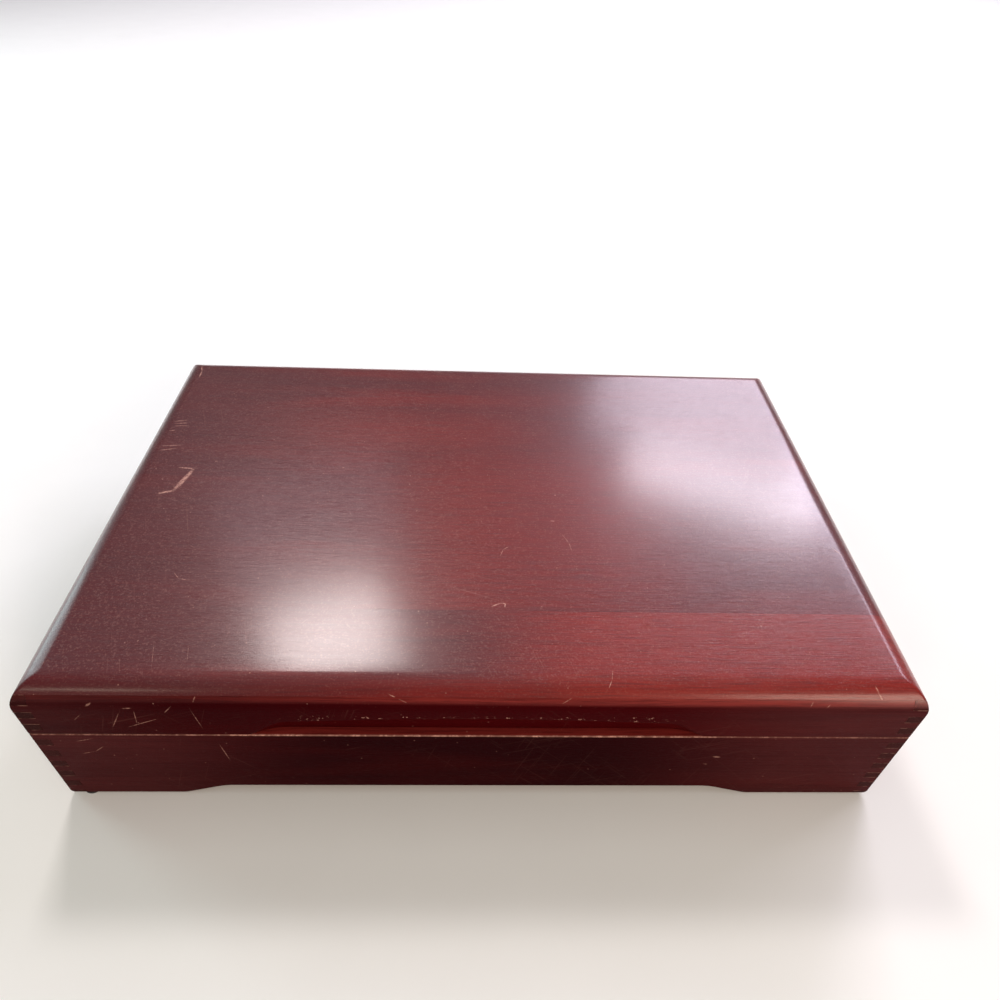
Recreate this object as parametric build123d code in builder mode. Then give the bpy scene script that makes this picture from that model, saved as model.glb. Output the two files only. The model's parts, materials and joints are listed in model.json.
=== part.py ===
"""A silverware chest: a finger-jointed wooden base and a hinged lid with a rounded top edge, lined with
cloth, with notched racks for spoons and forks in the base and for knives in the lid.

Millimetres. +X is the chest's right, +Y its back, +Z up. The origin is the middle of the chest in plan, on
the surface that the foot pads stand on.
"""

import os
from math import atan2, cos, radians, sin, sqrt, tan

from build123d import *

# ---------------------------------------------------------------------------------------------
# Driving dimensions
# ---------------------------------------------------------------------------------------------
chest_width = 406.4
chest_depth = 270.0
base_height = 54.8
lid_height = 32.3
wall_thickness = 7.94
top_thickness = 4.8
front_board_width = 47.9

roundover_radius = 12.7
corner_chamfer = 0.5
lower_corner_radius = 2.6

finger_width = 4.7625

arch_height = 7.3
arch_crown_width = 243.0
arch_mouth_width = 284.0
arch_center_x = -4.0
arch_crown_radius = 24.0
arch_mouth_radius = 12.0

# Finger pull: two slanted ends, and a crown of two long runs bent at the middle
pull_width = 210.0
pull_height = 16.0
pull_crown_radius = 900.0
pull_shoulder_height = 11.3
pull_shoulder_width = 182.0
pull_shoulder_radius = 16.0
pull_depth = 4.1
pull_run = 11.0
pull_steps = 5

bottom_panel_thickness = 3.2
bottom_panel_height = 9.6
groove_depth = 3.0
groove_clearance = 0.1

pad_diameter = 9.4
pad_height = 1.6
pad_inset_x = 9.4
pad_inset_y = 4.7
pad_front_right_setback = 1.6

# Cloth-covered linings
floor_pad_thickness = 3.0
lid_lining_thickness = 3.0
lining_thickness = 2.0
lining_reveal = 1.0

# Spoon and fork racks, and the board that closes off the serving pieces
rack_spacing = 124.0
rack_thickness = 12.0
rack_height = 28.0
rack_slots = 8
rack_slot_width = 22.0
rack_slot_depth = 21.0
rack_slot_bevel = 5.0
rack_lip_chamfer = 1.6
divider_x = 126.0
divider_thickness = 5.0
divider_height = 34.0

# Knife racks
knife_rack_height = 20.0
knife_rack_thickness = 16.0
knife_slots = 12
knife_slot_inset = 28.26
handle_slot_width = 11.0
blade_slot_width = 6.0
knife_slot_depth = 16.0
knife_lip_chamfer = 1.2
handle_rack_y = -72.0
blade_rack_y = 62.0

# Hinges
lid_stop_angle = 95.0
bevel_ease = 0.1
hinge_length = 38.0
hinge_end_distance = 76.0
hinge_setback = 2.0
hinge_knuckles = 3
leaf_thickness = 1.0
barrel_radius = 1.8
pin_radius = 0.9
pin_clearance = 0.05
knuckle_gap = 0.2
mortise_clearance = 0.2
screws_per_leaf = 2
screw_pitch = 24.0
screw_setback = 3.9
screw_length = 9.0
screw_radius = 0.85
screw_head_angle = 82.0
screw_clearance = 0.05

# ---------------------------------------------------------------------------------------------
# Levels and faces that follow from them
# ---------------------------------------------------------------------------------------------
foot = pad_height
rim = foot + base_height
crown = rim + lid_height
frame_top = crown - top_thickness
half_width = chest_width / 2
half_depth = chest_depth / 2
inner_half_width = half_width - wall_thickness
inner_half_depth = half_depth - wall_thickness
corner_x = half_width - wall_thickness / 2
corner_y = half_depth - wall_thickness / 2
panel_bottom = foot + bottom_panel_height
floor = panel_bottom + bottom_panel_thickness
pad_top = floor + floor_pad_thickness
ceiling = frame_top - lid_lining_thickness
lined_half_width = inner_half_width - lining_thickness
lining_run = 2 * (inner_half_depth - lining_thickness)
lining_x = inner_half_width - lining_thickness / 2
lining_y = inner_half_depth - lining_thickness / 2
hinge_y = half_depth - hinge_setback
hinge_x = half_width - hinge_end_distance
leaf_width = wall_thickness - hinge_setback
screw_head_radius = screw_radius + leaf_thickness * tan(radians(screw_head_angle / 2))
bevel_angle = radians(lid_stop_angle / 2 + bevel_ease)
overshoot = 1.0

os.makedirs("parts", exist_ok=True)


# ---------------------------------------------------------------------------------------------
# Helpers
# ---------------------------------------------------------------------------------------------
def finger_bands(top, bottom):
    """Heights (low, high) of the fingers of a corner, from the top edge down. The lowest finger takes
    what is left over."""
    count = max(2, round((top - bottom) / finger_width))
    levels = [top - k * finger_width for k in range(count)] + [bottom]
    return [(levels[k + 1], levels[k]) for k in range(count)]


def cut_fingers(bands, corners):
    """Notch the wall being built at each corner (x, y), where the other wall's fingers come through."""
    for low, high in bands:
        with Locations(*[(x, y, (low + high) / 2) for x, y in corners]):
            Box(wall_thickness, wall_thickness, high - low, mode=Mode.SUBTRACT)


def panel_groove(length_x, length_y, centers):
    """Cut the bottom panel's groove into the wall being built."""
    middle = panel_bottom + bottom_panel_thickness / 2
    with Locations(*[(x, y, middle) for x, y in centers]):
        Box(length_x, length_y, bottom_panel_thickness + groove_clearance, mode=Mode.SUBTRACT)


def pull_depth_at(inset):
    """Depth of the finger pull's cove at a distance inside its outline: an arc that meets the flat
    back of the pull at pull_run."""
    radius = (pull_run**2 + pull_depth**2) / (2 * pull_depth)
    return pull_depth - radius + sqrt(radius**2 - (pull_run - inset) ** 2)


def pull_corners(inset):
    """Corners (x, z) of the pull's outline with its sides moved in by a distance, carried on below
    the rim so that the cut runs out of the wall."""
    slant = atan2(pull_shoulder_height, (pull_width - pull_shoulder_width) / 2)
    rise = atan2(pull_height - pull_shoulder_height, pull_shoulder_width / 2)
    step = inset / cos((slant - rise) / 2)
    shoulder_x = pull_shoulder_width / 2 - step * sin((slant + rise) / 2)
    shoulder_z = rim + pull_shoulder_height - step * cos((slant + rise) / 2)
    skirt_x = pull_width / 2 + pull_height / tan(slant) - inset / sin(slant)
    skirt_z = rim - pull_height
    right_half = [(shoulder_x, shoulder_z), (skirt_x, skirt_z)]
    left_half = [(-x, z) for x, z in reversed(right_half)]
    return left_half + [(0, rim + pull_height - inset / cos(rise))] + right_half


def knuckle_spans(first):
    """Centres along X, from the hinge's middle, of every second knuckle."""
    knuckle = hinge_length / hinge_knuckles
    return [(k + 0.5) * knuckle - hinge_length / 2 for k in range(first, hinge_knuckles, 2)]


base_bands = finger_bands(rim, foot)
lid_bands = finger_bands(frame_top, rim)
base_front_fingers, base_side_fingers = base_bands[0::2], base_bands[1::2]
lid_side_fingers, lid_front_fingers = lid_bands[0::2], lid_bands[1::2]
front_corners = [(-corner_x, -corner_y), (corner_x, -corner_y)]
back_corners = [(-corner_x, corner_y), (corner_x, corner_y)]
left_corners = [(-corner_x, -corner_y), (-corner_x, corner_y)]
right_corners = [(corner_x, -corner_y), (corner_x, corner_y)]

# ---------------------------------------------------------------------------------------------
# Outer forms that the walls and the top are trimmed to
# ---------------------------------------------------------------------------------------------
# The base: eased upright corners, softened lower corners seen from the front, and the bevel along
# its back rim that the open lid leans on.
with BuildPart() as base_form:
    with BuildSketch(Plane.XY.offset(foot)) as base_plan:
        Rectangle(chest_width, chest_depth)
        chamfer(base_plan.vertices(), corner_chamfer)
    extrude(amount=base_height)
    with BuildSketch(Plane.XZ) as base_front_view:
        with Locations((0, foot + base_height / 2)):
            Rectangle(chest_width, base_height)
        fillet(base_front_view.vertices().group_by(Axis.Y)[0], lower_corner_radius)
    extrude(amount=half_depth, both=True, mode=Mode.INTERSECT)
    with BuildSketch(Plane.YZ):
        with BuildLine():
            bevel_end = half_depth + overshoot
            bevel_drop = (bevel_end - hinge_y) * tan(bevel_angle)
            Polyline(
                (hinge_y, rim),
                (bevel_end, rim - bevel_drop),
                (bevel_end, rim + overshoot),
                (hinge_y, rim + overshoot),
                close=True,
            )
        make_face()
    extrude(amount=half_width + overshoot, both=True, mode=Mode.SUBTRACT)

# The lid: the same, with the large round-over along all four top edges. Two round-overs cross
# in a mitre at each corner.
with BuildPart() as lid_form:
    with BuildSketch(Plane.XY.offset(rim)) as lid_plan:
        Rectangle(chest_width, chest_depth)
        chamfer(lid_plan.vertices(), corner_chamfer)
    extrude(amount=lid_height)
    with BuildSketch(Plane.XZ) as lid_front_view:
        with Locations((0, rim + lid_height / 2)):
            Rectangle(chest_width, lid_height)
        fillet(lid_front_view.vertices().group_by(Axis.Y)[-1], roundover_radius)
    extrude(amount=half_depth, both=True, mode=Mode.INTERSECT)
    with BuildSketch(Plane.YZ) as lid_side_view:
        with Locations((0, rim + lid_height / 2)):
            Rectangle(chest_depth, lid_height)
        fillet(lid_side_view.vertices().group_by(Axis.Y)[-1], roundover_radius)
    extrude(amount=half_width, both=True, mode=Mode.INTERSECT)
    with BuildSketch(Plane.YZ):
        with BuildLine():
            Polyline(
                (hinge_y, rim),
                (bevel_end, rim + bevel_drop),
                (bevel_end, rim - overshoot),
                (hinge_y, rim - overshoot),
                close=True,
            )
        make_face()
    extrude(amount=half_width + overshoot, both=True, mode=Mode.SUBTRACT)

# Room for the hinges in both back rims: a mortise for the leaf, right across the rim, and a deeper
# channel for the barrel, open at the back.
with BuildPart() as hinge_room:
    for x in (-hinge_x, hinge_x):
        room_length = hinge_length + 2 * mortise_clearance
        channel_front = hinge_y - barrel_radius - mortise_clearance
        with Locations((x, corner_y, rim)):
            Box(room_length, wall_thickness + 2 * overshoot, 2 * leaf_thickness)
        with Locations((x, (channel_front + half_depth + overshoot) / 2, rim)):
            Box(room_length, half_depth + overshoot - channel_front, 2 * (barrel_radius + mortise_clearance))

# Pilot holes for the screws of all the leaves, up into the lid and down into the base.
hinge_screw_places = [
    (x + (k - (screws_per_leaf - 1) / 2) * screw_pitch, hinge_y - screw_setback)
    for x in (-hinge_x, hinge_x)
    for k in range(screws_per_leaf)
]
with BuildPart() as pilot_holes:
    with Locations(*[(x, y, rim) for x, y in hinge_screw_places]):
        Cylinder(screw_radius + screw_clearance, 2 * (screw_length + screw_clearance))

# ---------------------------------------------------------------------------------------------
# Base walls
# ---------------------------------------------------------------------------------------------
with BuildPart() as base_front_wall:
    with Locations((0, -corner_y, foot + base_height / 2)):
        Box(chest_width, wall_thickness, base_height)
    cut_fingers(base_side_fingers, front_corners)
    add(base_form.part, mode=Mode.INTERSECT)
    with BuildSketch(Plane.XZ.offset(half_depth)):
        with BuildLine():
            run_out = 2 * arch_mouth_radius
            arch = FilletPolyline(
                (arch_center_x - arch_mouth_width / 2 - run_out, foot),
                (arch_center_x - arch_mouth_width / 2, foot),
                (arch_center_x - arch_crown_width / 2, foot + arch_height),
                (arch_center_x + arch_crown_width / 2, foot + arch_height),
                (arch_center_x + arch_mouth_width / 2, foot),
                (arch_center_x + arch_mouth_width / 2 + run_out, foot),
                radius=[arch_mouth_radius, arch_crown_radius, arch_crown_radius, arch_mouth_radius],
            )
            Polyline(
                arch @ 1,
                (arch_center_x + arch_mouth_width / 2 + run_out, foot - overshoot),
                (arch_center_x - arch_mouth_width / 2 - run_out, foot - overshoot),
                arch @ 0,
            )
        make_face()
    extrude(amount=-wall_thickness, mode=Mode.SUBTRACT)
    panel_groove(2 * inner_half_width, 2 * groove_depth, [(0, -inner_half_depth)])
base_front_wall.part.label = "base_front_wall"
export_step(base_front_wall.part, "parts/base_front_wall.step")

with BuildPart() as base_back_wall:
    with Locations((0, corner_y, foot + base_height / 2)):
        Box(chest_width, wall_thickness, base_height)
    cut_fingers(base_side_fingers, back_corners)
    add(base_form.part, mode=Mode.INTERSECT)
    add(hinge_room.part, mode=Mode.SUBTRACT)
    add(pilot_holes.part, mode=Mode.SUBTRACT)
    panel_groove(2 * inner_half_width, 2 * groove_depth, [(0, inner_half_depth)])
base_back_wall.part.label = "base_back_wall"
export_step(base_back_wall.part, "parts/base_back_wall.step")

with BuildPart() as base_left_wall:
    with Locations((-corner_x, 0, foot + base_height / 2)):
        Box(wall_thickness, chest_depth, base_height)
    cut_fingers(base_front_fingers, left_corners)
    add(base_form.part, mode=Mode.INTERSECT)
    panel_groove(2 * groove_depth, 2 * inner_half_depth, [(-inner_half_width, 0)])
base_left_wall.part.label = "base_left_wall"
export_step(base_left_wall.part, "parts/base_left_wall.step")

with BuildPart() as base_right_wall:
    with Locations((corner_x, 0, foot + base_height / 2)):
        Box(wall_thickness, chest_depth, base_height)
    cut_fingers(base_front_fingers, right_corners)
    add(base_form.part, mode=Mode.INTERSECT)
    panel_groove(2 * groove_depth, 2 * inner_half_depth, [(inner_half_width, 0)])
base_right_wall.part.label = "base_right_wall"
export_step(base_right_wall.part, "parts/base_right_wall.step")

# The bottom panel's tongues fill the grooves; its corners are notched to clear the finger joints.
with BuildPart() as base_bottom_panel:
    with BuildSketch(Plane.XY.offset(panel_bottom)):
        Rectangle(2 * (inner_half_width + groove_depth), 2 * inner_half_depth)
        Rectangle(2 * inner_half_width, 2 * (inner_half_depth + groove_depth))
    extrude(amount=bottom_panel_thickness)
base_bottom_panel.part.label = "base_bottom_panel"
export_step(base_bottom_panel.part, "parts/base_bottom_panel.step")

# Four round pads, each stuck under a corner. The front right one sits a little further in.
for row, back in (("front", -1), ("back", 1)):
    for side, right in (("left", -1), ("right", 1)):
        setback = pad_front_right_setback if (row, side) == ("front", "right") else 0.0
        with BuildPart() as foot_pad:
            pad_center = (right * (half_width - pad_inset_x), back * (half_depth - pad_inset_y - setback))
            with BuildSketch(Plane.XY):
                with Locations(pad_center):
                    Circle(pad_diameter / 2)
            extrude(amount=pad_height)
        foot_pad.part.label = f"foot_pad_{row}_{side}"
        export_step(foot_pad.part, f"parts/foot_pad_{row}_{side}.step")

# ---------------------------------------------------------------------------------------------
# Base linings, racks and divider
# ---------------------------------------------------------------------------------------------
with BuildPart() as base_floor_pad:
    with BuildSketch(Plane.XY.offset(floor)):
        Rectangle(2 * inner_half_width, 2 * inner_half_depth)
    extrude(amount=floor_pad_thickness)
base_floor_pad.part.label = "base_floor_pad"
export_step(base_floor_pad.part, "parts/base_floor_pad.step")

base_lining_height = rim - lining_reveal - pad_top
for name, back in (("front", -1), ("back", 1)):
    with BuildPart() as base_long_lining:
        with Locations((0, back * lining_y, pad_top + base_lining_height / 2)):
            Box(2 * inner_half_width, lining_thickness, base_lining_height)
    base_long_lining.part.label = f"base_{name}_lining"
    export_step(base_long_lining.part, f"parts/base_{name}_lining.step")

for name, right in (("left", -1), ("right", 1)):
    with BuildPart() as base_side_lining:
        with Locations((right * lining_x, 0, pad_top + base_lining_height / 2)):
            Box(lining_thickness, lining_run, base_lining_height)
    base_side_lining.part.label = f"base_{name}_lining"
    export_step(base_side_lining.part, f"parts/base_{name}_lining.step")

with BuildPart() as compartment_divider:
    with Locations((divider_x, 0, pad_top + divider_height / 2)):
        Box(divider_thickness, lining_run, divider_height)
    upper_edges = compartment_divider.edges().filter_by(Axis.Y).group_by(Axis.Z)[-1]
    fillet(upper_edges, divider_thickness * 0.4)
compartment_divider.part.label = "compartment_divider"
export_step(compartment_divider.part, "parts/compartment_divider.step")

# Each rack is a bar with a row of slots with bevelled bottoms and eased lips. A stack of spoons or
# forks stands in the same slot of both racks.
rack_left = -lined_half_width
rack_right = divider_x - divider_thickness / 2
rack_length = rack_right - rack_left
for name, back in (("front", -1), ("back", 1)):
    rack_face = Plane(
        origin=((rack_left + rack_right) / 2, back * rack_spacing / 2, pad_top),
        x_dir=(1, 0, 0),
        z_dir=(0, -1, 0),
    )
    with BuildPart() as flatware_rack:
        with BuildSketch(rack_face) as rack_profile:
            with Locations((0, rack_height / 2)):
                Rectangle(rack_length, rack_height)
            with Locations((0, rack_height - rack_slot_depth / 2)):
                with GridLocations(rack_length / rack_slots, 1, rack_slots, 1):
                    Rectangle(rack_slot_width, rack_slot_depth, mode=Mode.SUBTRACT)
            chamfer(rack_profile.vertices().group_by(Axis.Y)[1], rack_slot_bevel)
            chamfer(rack_profile.vertices().group_by(Axis.Y)[-1], rack_lip_chamfer)
        extrude(amount=rack_thickness / 2, both=True)
    flatware_rack.part.label = f"flatware_rack_{name}"
    export_step(flatware_rack.part, f"parts/flatware_rack_{name}.step")

# ---------------------------------------------------------------------------------------------
# Lid walls and top
# ---------------------------------------------------------------------------------------------
lid_frame_height = frame_top - rim

with BuildPart() as lid_front_wall:
    with Locations((0, -corner_y, rim + lid_frame_height / 2)):
        Box(chest_width, wall_thickness, lid_frame_height)
    cut_fingers(lid_side_fingers, front_corners)
    add(lid_form.part, mode=Mode.INTERSECT)
    # The finger pull: the same outline drawn smaller and deeper, step by step, along the cove's arc.
    # The first outline lies in front of the wall's face.
    for k in range(pull_steps + 1):
        inset = pull_run * (k - 1) / (pull_steps - 1)
        with BuildSketch(Plane.XZ.offset(half_depth - pull_depth_at(inset))):
            with BuildLine():
                corners = pull_corners(inset)
                shoulder_bend = pull_shoulder_radius - inset
                FilletPolyline(*corners, radius=[shoulder_bend, pull_crown_radius - inset, shoulder_bend])
                Line(corners[-1], corners[0])
            make_face()
    loft(mode=Mode.SUBTRACT)
lid_front_wall.part.label = "lid_front_wall"
export_step(lid_front_wall.part, "parts/lid_front_wall.step")

with BuildPart() as lid_back_wall:
    with Locations((0, corner_y, rim + lid_frame_height / 2)):
        Box(chest_width, wall_thickness, lid_frame_height)
    cut_fingers(lid_side_fingers, back_corners)
    add(lid_form.part, mode=Mode.INTERSECT)
    add(hinge_room.part, mode=Mode.SUBTRACT)
    add(pilot_holes.part, mode=Mode.SUBTRACT)
lid_back_wall.part.label = "lid_back_wall"
export_step(lid_back_wall.part, "parts/lid_back_wall.step")

with BuildPart() as lid_left_wall:
    with Locations((-corner_x, 0, rim + lid_frame_height / 2)):
        Box(wall_thickness, chest_depth, lid_frame_height)
    cut_fingers(lid_front_fingers, left_corners)
    add(lid_form.part, mode=Mode.INTERSECT)
lid_left_wall.part.label = "lid_left_wall"
export_step(lid_left_wall.part, "parts/lid_left_wall.step")

with BuildPart() as lid_right_wall:
    with Locations((corner_x, 0, rim + lid_frame_height / 2)):
        Box(wall_thickness, chest_depth, lid_frame_height)
    cut_fingers(lid_front_fingers, right_corners)
    add(lid_form.part, mode=Mode.INTERSECT)
lid_right_wall.part.label = "lid_right_wall"
export_step(lid_right_wall.part, "parts/lid_right_wall.step")

# The top is two boards glued edge to edge and glued down on the frame.
with BuildPart() as lid_top_front_board:
    with Locations((0, -half_depth + front_board_width / 2, frame_top + top_thickness / 2)):
        Box(chest_width, front_board_width, top_thickness)
    add(lid_form.part, mode=Mode.INTERSECT)
lid_top_front_board.part.label = "lid_top_front_board"
export_step(lid_top_front_board.part, "parts/lid_top_front_board.step")

rear_board_width = chest_depth - front_board_width
with BuildPart() as lid_top_rear_board:
    with Locations((0, half_depth - rear_board_width / 2, frame_top + top_thickness / 2)):
        Box(chest_width, rear_board_width, top_thickness)
    add(lid_form.part, mode=Mode.INTERSECT)
lid_top_rear_board.part.label = "lid_top_rear_board"
export_step(lid_top_rear_board.part, "parts/lid_top_rear_board.step")

# ---------------------------------------------------------------------------------------------
# Lid linings and knife racks
# ---------------------------------------------------------------------------------------------
with BuildPart() as lid_top_lining:
    with BuildSketch(Plane.XY.offset(ceiling)):
        Rectangle(2 * inner_half_width, 2 * inner_half_depth)
    extrude(amount=lid_lining_thickness)
lid_top_lining.part.label = "lid_top_lining"
export_step(lid_top_lining.part, "parts/lid_top_lining.step")

lid_lining_height = ceiling - rim - lining_reveal
for name, back in (("front", -1), ("back", 1)):
    with BuildPart() as lid_long_lining:
        with Locations((0, back * lining_y, ceiling - lid_lining_height / 2)):
            Box(2 * inner_half_width, lining_thickness, lid_lining_height)
    lid_long_lining.part.label = f"lid_{name}_lining"
    export_step(lid_long_lining.part, f"parts/lid_{name}_lining.step")

for name, right in (("left", -1), ("right", 1)):
    with BuildPart() as lid_side_lining:
        with Locations((right * lining_x, 0, ceiling - lid_lining_height / 2)):
            Box(lining_thickness, lining_run, lid_lining_height)
    lid_side_lining.part.label = f"lid_{name}_lining"
    export_step(lid_side_lining.part, f"parts/lid_{name}_lining.step")

# Two bars across the lid with one slot for each knife: wide slots for the handles near the
# front, narrow ones for the blades near the back. The slots open downwards and are evenly spaced,
# the outer ones at an inset from the ends.
knife_pitch = 2 * (lined_half_width - knife_slot_inset) / (knife_slots - 1)
knife_racks = (("handle", handle_rack_y, handle_slot_width), ("blade", blade_rack_y, blade_slot_width))
for name, y, slot_width in knife_racks:
    rack_face = Plane(origin=(0, y, ceiling), x_dir=(1, 0, 0), z_dir=(0, -1, 0))
    with BuildPart() as knife_rack:
        with BuildSketch(rack_face) as knife_profile:
            with Locations((0, -knife_rack_height / 2)):
                Rectangle(2 * lined_half_width, knife_rack_height)
            with Locations((0, knife_slot_depth / 2 - knife_rack_height)):
                with GridLocations(knife_pitch, 1, knife_slots, 1):
                    Rectangle(slot_width, knife_slot_depth, mode=Mode.SUBTRACT)
            chamfer(knife_profile.vertices().group_by(Axis.Y)[0], knife_lip_chamfer)
        extrude(amount=knife_rack_thickness / 2, both=True)
    knife_rack.part.label = f"knife_{name}_rack"
    export_step(knife_rack.part, f"parts/knife_{name}_rack.step")

# ---------------------------------------------------------------------------------------------
# Hinges
# ---------------------------------------------------------------------------------------------
# Every leaf is a plate let into its rim, rolled into knuckles around the pin and notched where the
# other leaf's knuckles turn. The base leaf has the two end knuckles, and the lid's lies between.
knuckle_length = hinge_length / hinge_knuckles - knuckle_gap
leaves = (("base", -1, 0), ("lid", 1, 1))
for side, x in (("left", -hinge_x), ("right", hinge_x)):
    for body, up, first in leaves:
        with BuildPart() as leaf:
            with Locations((x, hinge_y - leaf_width / 2, rim + up * leaf_thickness / 2)):
                Box(hinge_length, leaf_width, leaf_thickness)
            with Locations(*[(x + span, hinge_y, rim) for span in knuckle_spans(1 - first)]):
                notch = 2 * (barrel_radius + knuckle_gap)
                Box(knuckle_length + 2 * knuckle_gap, notch, notch, mode=Mode.SUBTRACT)
            for span in knuckle_spans(first):
                with BuildSketch(Plane.YZ.offset(x + span)):
                    with Locations((hinge_y, rim)):
                        Circle(barrel_radius)
                extrude(amount=knuckle_length / 2, both=True)
            with BuildSketch(Plane.YZ.offset(x)):
                with Locations((hinge_y, rim)):
                    Circle(pin_radius + pin_clearance)
            extrude(amount=hinge_length, both=True, mode=Mode.SUBTRACT)
            places = [place for place in hinge_screw_places if abs(place[0] - x) < hinge_length]
            leaf_faces = [Plane(origin=(px, py, rim), z_dir=(0, 0, -up)) for px, py in places]
            with Locations(*leaf_faces):
                CounterSinkHole(
                    screw_radius + screw_clearance,
                    screw_head_radius + screw_clearance,
                    depth=2 * leaf_thickness,
                    counter_sink_angle=screw_head_angle,
                )
        leaf.part.label = f"hinge_{body}_leaf_{side}"
        export_step(leaf.part, f"parts/hinge_{body}_leaf_{side}.step")
    with BuildPart() as hinge_pin:
        with BuildSketch(Plane.YZ.offset(x)):
            with Locations((hinge_y, rim)):
                Circle(pin_radius)
        extrude(amount=hinge_length / 2, both=True)
    hinge_pin.part.label = f"hinge_pin_{side}"
    export_step(hinge_pin.part, f"parts/hinge_pin_{side}.step")

# Countersunk screws, heads a hair below the face of the leaf and as deep as it is thick.
for body, up, _ in leaves:
    with BuildPart() as hinge_screws:
        for x, y in hinge_screw_places:
            screw_plane = Plane(origin=(x, y, rim + up * screw_clearance), x_dir=(1, 0, 0), z_dir=(0, -up, 0))
            with BuildSketch(screw_plane):
                with BuildLine():
                    Polyline(
                        (0, 0),
                        (screw_head_radius, 0),
                        (screw_radius, leaf_thickness),
                        (screw_radius, screw_length - screw_clearance),
                        (0, screw_length - screw_clearance),
                        close=True,
                    )
                make_face()
            revolve(axis=Axis((x, y, rim), (0, 0, 1)))
    hinge_screws.part.label = f"hinge_{body}_screws"
    export_step(hinge_screws.part, f"parts/hinge_{body}_screws.step")
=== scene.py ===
import json
from math import atan2, cos, pi, radians, sin
from types import SimpleNamespace

import bmesh
import bpy
import numpy as np
from bpy.props import FloatProperty, FloatVectorProperty, IntProperty, PointerProperty
from mathutils import Matrix, Vector


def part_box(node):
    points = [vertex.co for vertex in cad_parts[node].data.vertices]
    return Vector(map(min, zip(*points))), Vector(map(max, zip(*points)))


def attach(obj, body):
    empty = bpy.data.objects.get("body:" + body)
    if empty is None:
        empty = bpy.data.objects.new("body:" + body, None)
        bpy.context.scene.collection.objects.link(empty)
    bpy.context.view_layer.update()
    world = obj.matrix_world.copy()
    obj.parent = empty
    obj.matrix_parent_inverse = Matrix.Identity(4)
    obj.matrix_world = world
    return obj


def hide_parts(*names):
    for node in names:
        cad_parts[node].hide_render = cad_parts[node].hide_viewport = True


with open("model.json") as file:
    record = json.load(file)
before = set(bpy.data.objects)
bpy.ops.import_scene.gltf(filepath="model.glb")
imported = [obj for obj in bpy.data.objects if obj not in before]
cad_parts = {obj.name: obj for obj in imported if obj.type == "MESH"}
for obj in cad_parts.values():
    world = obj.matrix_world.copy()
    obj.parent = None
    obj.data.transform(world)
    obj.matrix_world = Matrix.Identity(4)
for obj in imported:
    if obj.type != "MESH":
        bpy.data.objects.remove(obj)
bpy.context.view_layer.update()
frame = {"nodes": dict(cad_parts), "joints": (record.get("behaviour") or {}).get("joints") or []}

bl_info = {
    "name": "Silverware chest",
    "version": (1, 0, 0),
    "blender": (4, 5, 0),
    "location": "View3D > Sidebar > Chest",
    "description": "Walls, boards, linings, hinges and finish of a finger-jointed silverware chest",
    "category": "Object",
}

MM = 0.001


def corners(node):
    """The low and the high corner of a node's box, in millimetres."""
    return [[value / MM for value in corner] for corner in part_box(node)]


# Faces and levels of the chest, in millimetres, read from its frame
FRONT_LOW, FRONT_HIGH = corners("base_front_wall")
HALF_WIDTH, HALF_DEPTH = FRONT_HIGH[0], -FRONT_LOW[1]
WALL = FRONT_HIGH[1] - FRONT_LOW[1]
ROOT_X, ROOT_Y = HALF_WIDTH - WALL, HALF_DEPTH - WALL
FOOT, RIM = FRONT_LOW[2], FRONT_HIGH[2]
FRAME_TOP = corners("lid_front_wall")[1][2]
GLUE_LINE, CROWN = corners("lid_top_front_board")[1][1:]
PIN_LOW, PIN_HIGH = corners("hinge_pin_right")
HINGE_X, HINGE_Y = (PIN_LOW[0] + PIN_HIGH[0]) / 2, (PIN_LOW[1] + PIN_HIGH[1]) / 2
HALF_HINGE = (PIN_HIGH[0] - PIN_LOW[0]) / 2
BARREL_RADIUS = corners("hinge_base_leaf_right")[1][2] - RIM
BEVEL_LEAN = radians(frame["joints"][0]["range_deg"][1]) / 2

# Room left round the hinges' barrels and leaves and between the two back bevels, in millimetres
HINGE_CLEARANCE = 0.2
BARREL_ROOM = BARREL_RADIUS + HINGE_CLEARANCE
LEAF_ROOM = 1.0
BEVEL_CLEARANCE = 0.06
HALF_ROOM = HALF_HINGE + HINGE_CLEARANCE
HINGE_SPANS = [(x - HALF_ROOM, x + HALF_ROOM) for x in (-HINGE_X, HINGE_X)]

# Fineness of the meshes: widest distances between columns of points, in millimetres
COLUMN_STEP, ARCH_STEP, PULL_STEP = 9.0, 1.2, 0.7
BOARD_STEP, CLOTH_STEP, DIVIDER_STEP = 8.0, 6.0, 12.0

# Rows over the finger pull, counted from the split, and how far the pull's fine grid goes on beside and
# above it
PULL_FIRST_ROW, PULL_ROW_STEP = 1.2, 0.45
PULL_MARGIN = (4.0, 3.0)

# Rows near the split in the base's walls and in the back walls, by their distance from it, and the
# least distance between any two rows
BASE_RIM_ROWS = (1.0, 2.0)
BACK_RIM_ROWS = (LEAF_ROOM, 3.0)
ROW_ROOM = 0.1

# Steps in one straight run or bend
RUN_STEPS, BEND_STEPS = 4, 6
EASE_STEPS, LOWER_CORNER_STEPS, ROUNDOVER_STEPS, RING_STEPS = 4, 5, 7, 13
CLOTH_EDGE_STEPS, DIVIDER_STEPS, PAD_STEPS, SCREW_RINGS, TURN_STEPS = 4, 12, 5, 11, 48

# Edges that turn by more than this stay sharp or get a bevel, and places nearer than this are the same
SHARP = radians(32.0)
SAME = 1e-6

# Fill of the padded pieces, the turn of the first screw's slot and the turn from one to the next, and
# the turns of the hairlines
SLOT_TURN, SLOT_TURN_STEP = 0.5, 1.1
HAIRLINE_TURNS = (0.35, 1.25, 2.3)


def length(name, description, default, least=0.0):
    """A length, given in millimetres and kept in metres, that a user may change."""
    return FloatProperty(
        name=name, description=description, default=default * MM, min=least * MM, unit="LENGTH", precision=5
    )


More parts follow.
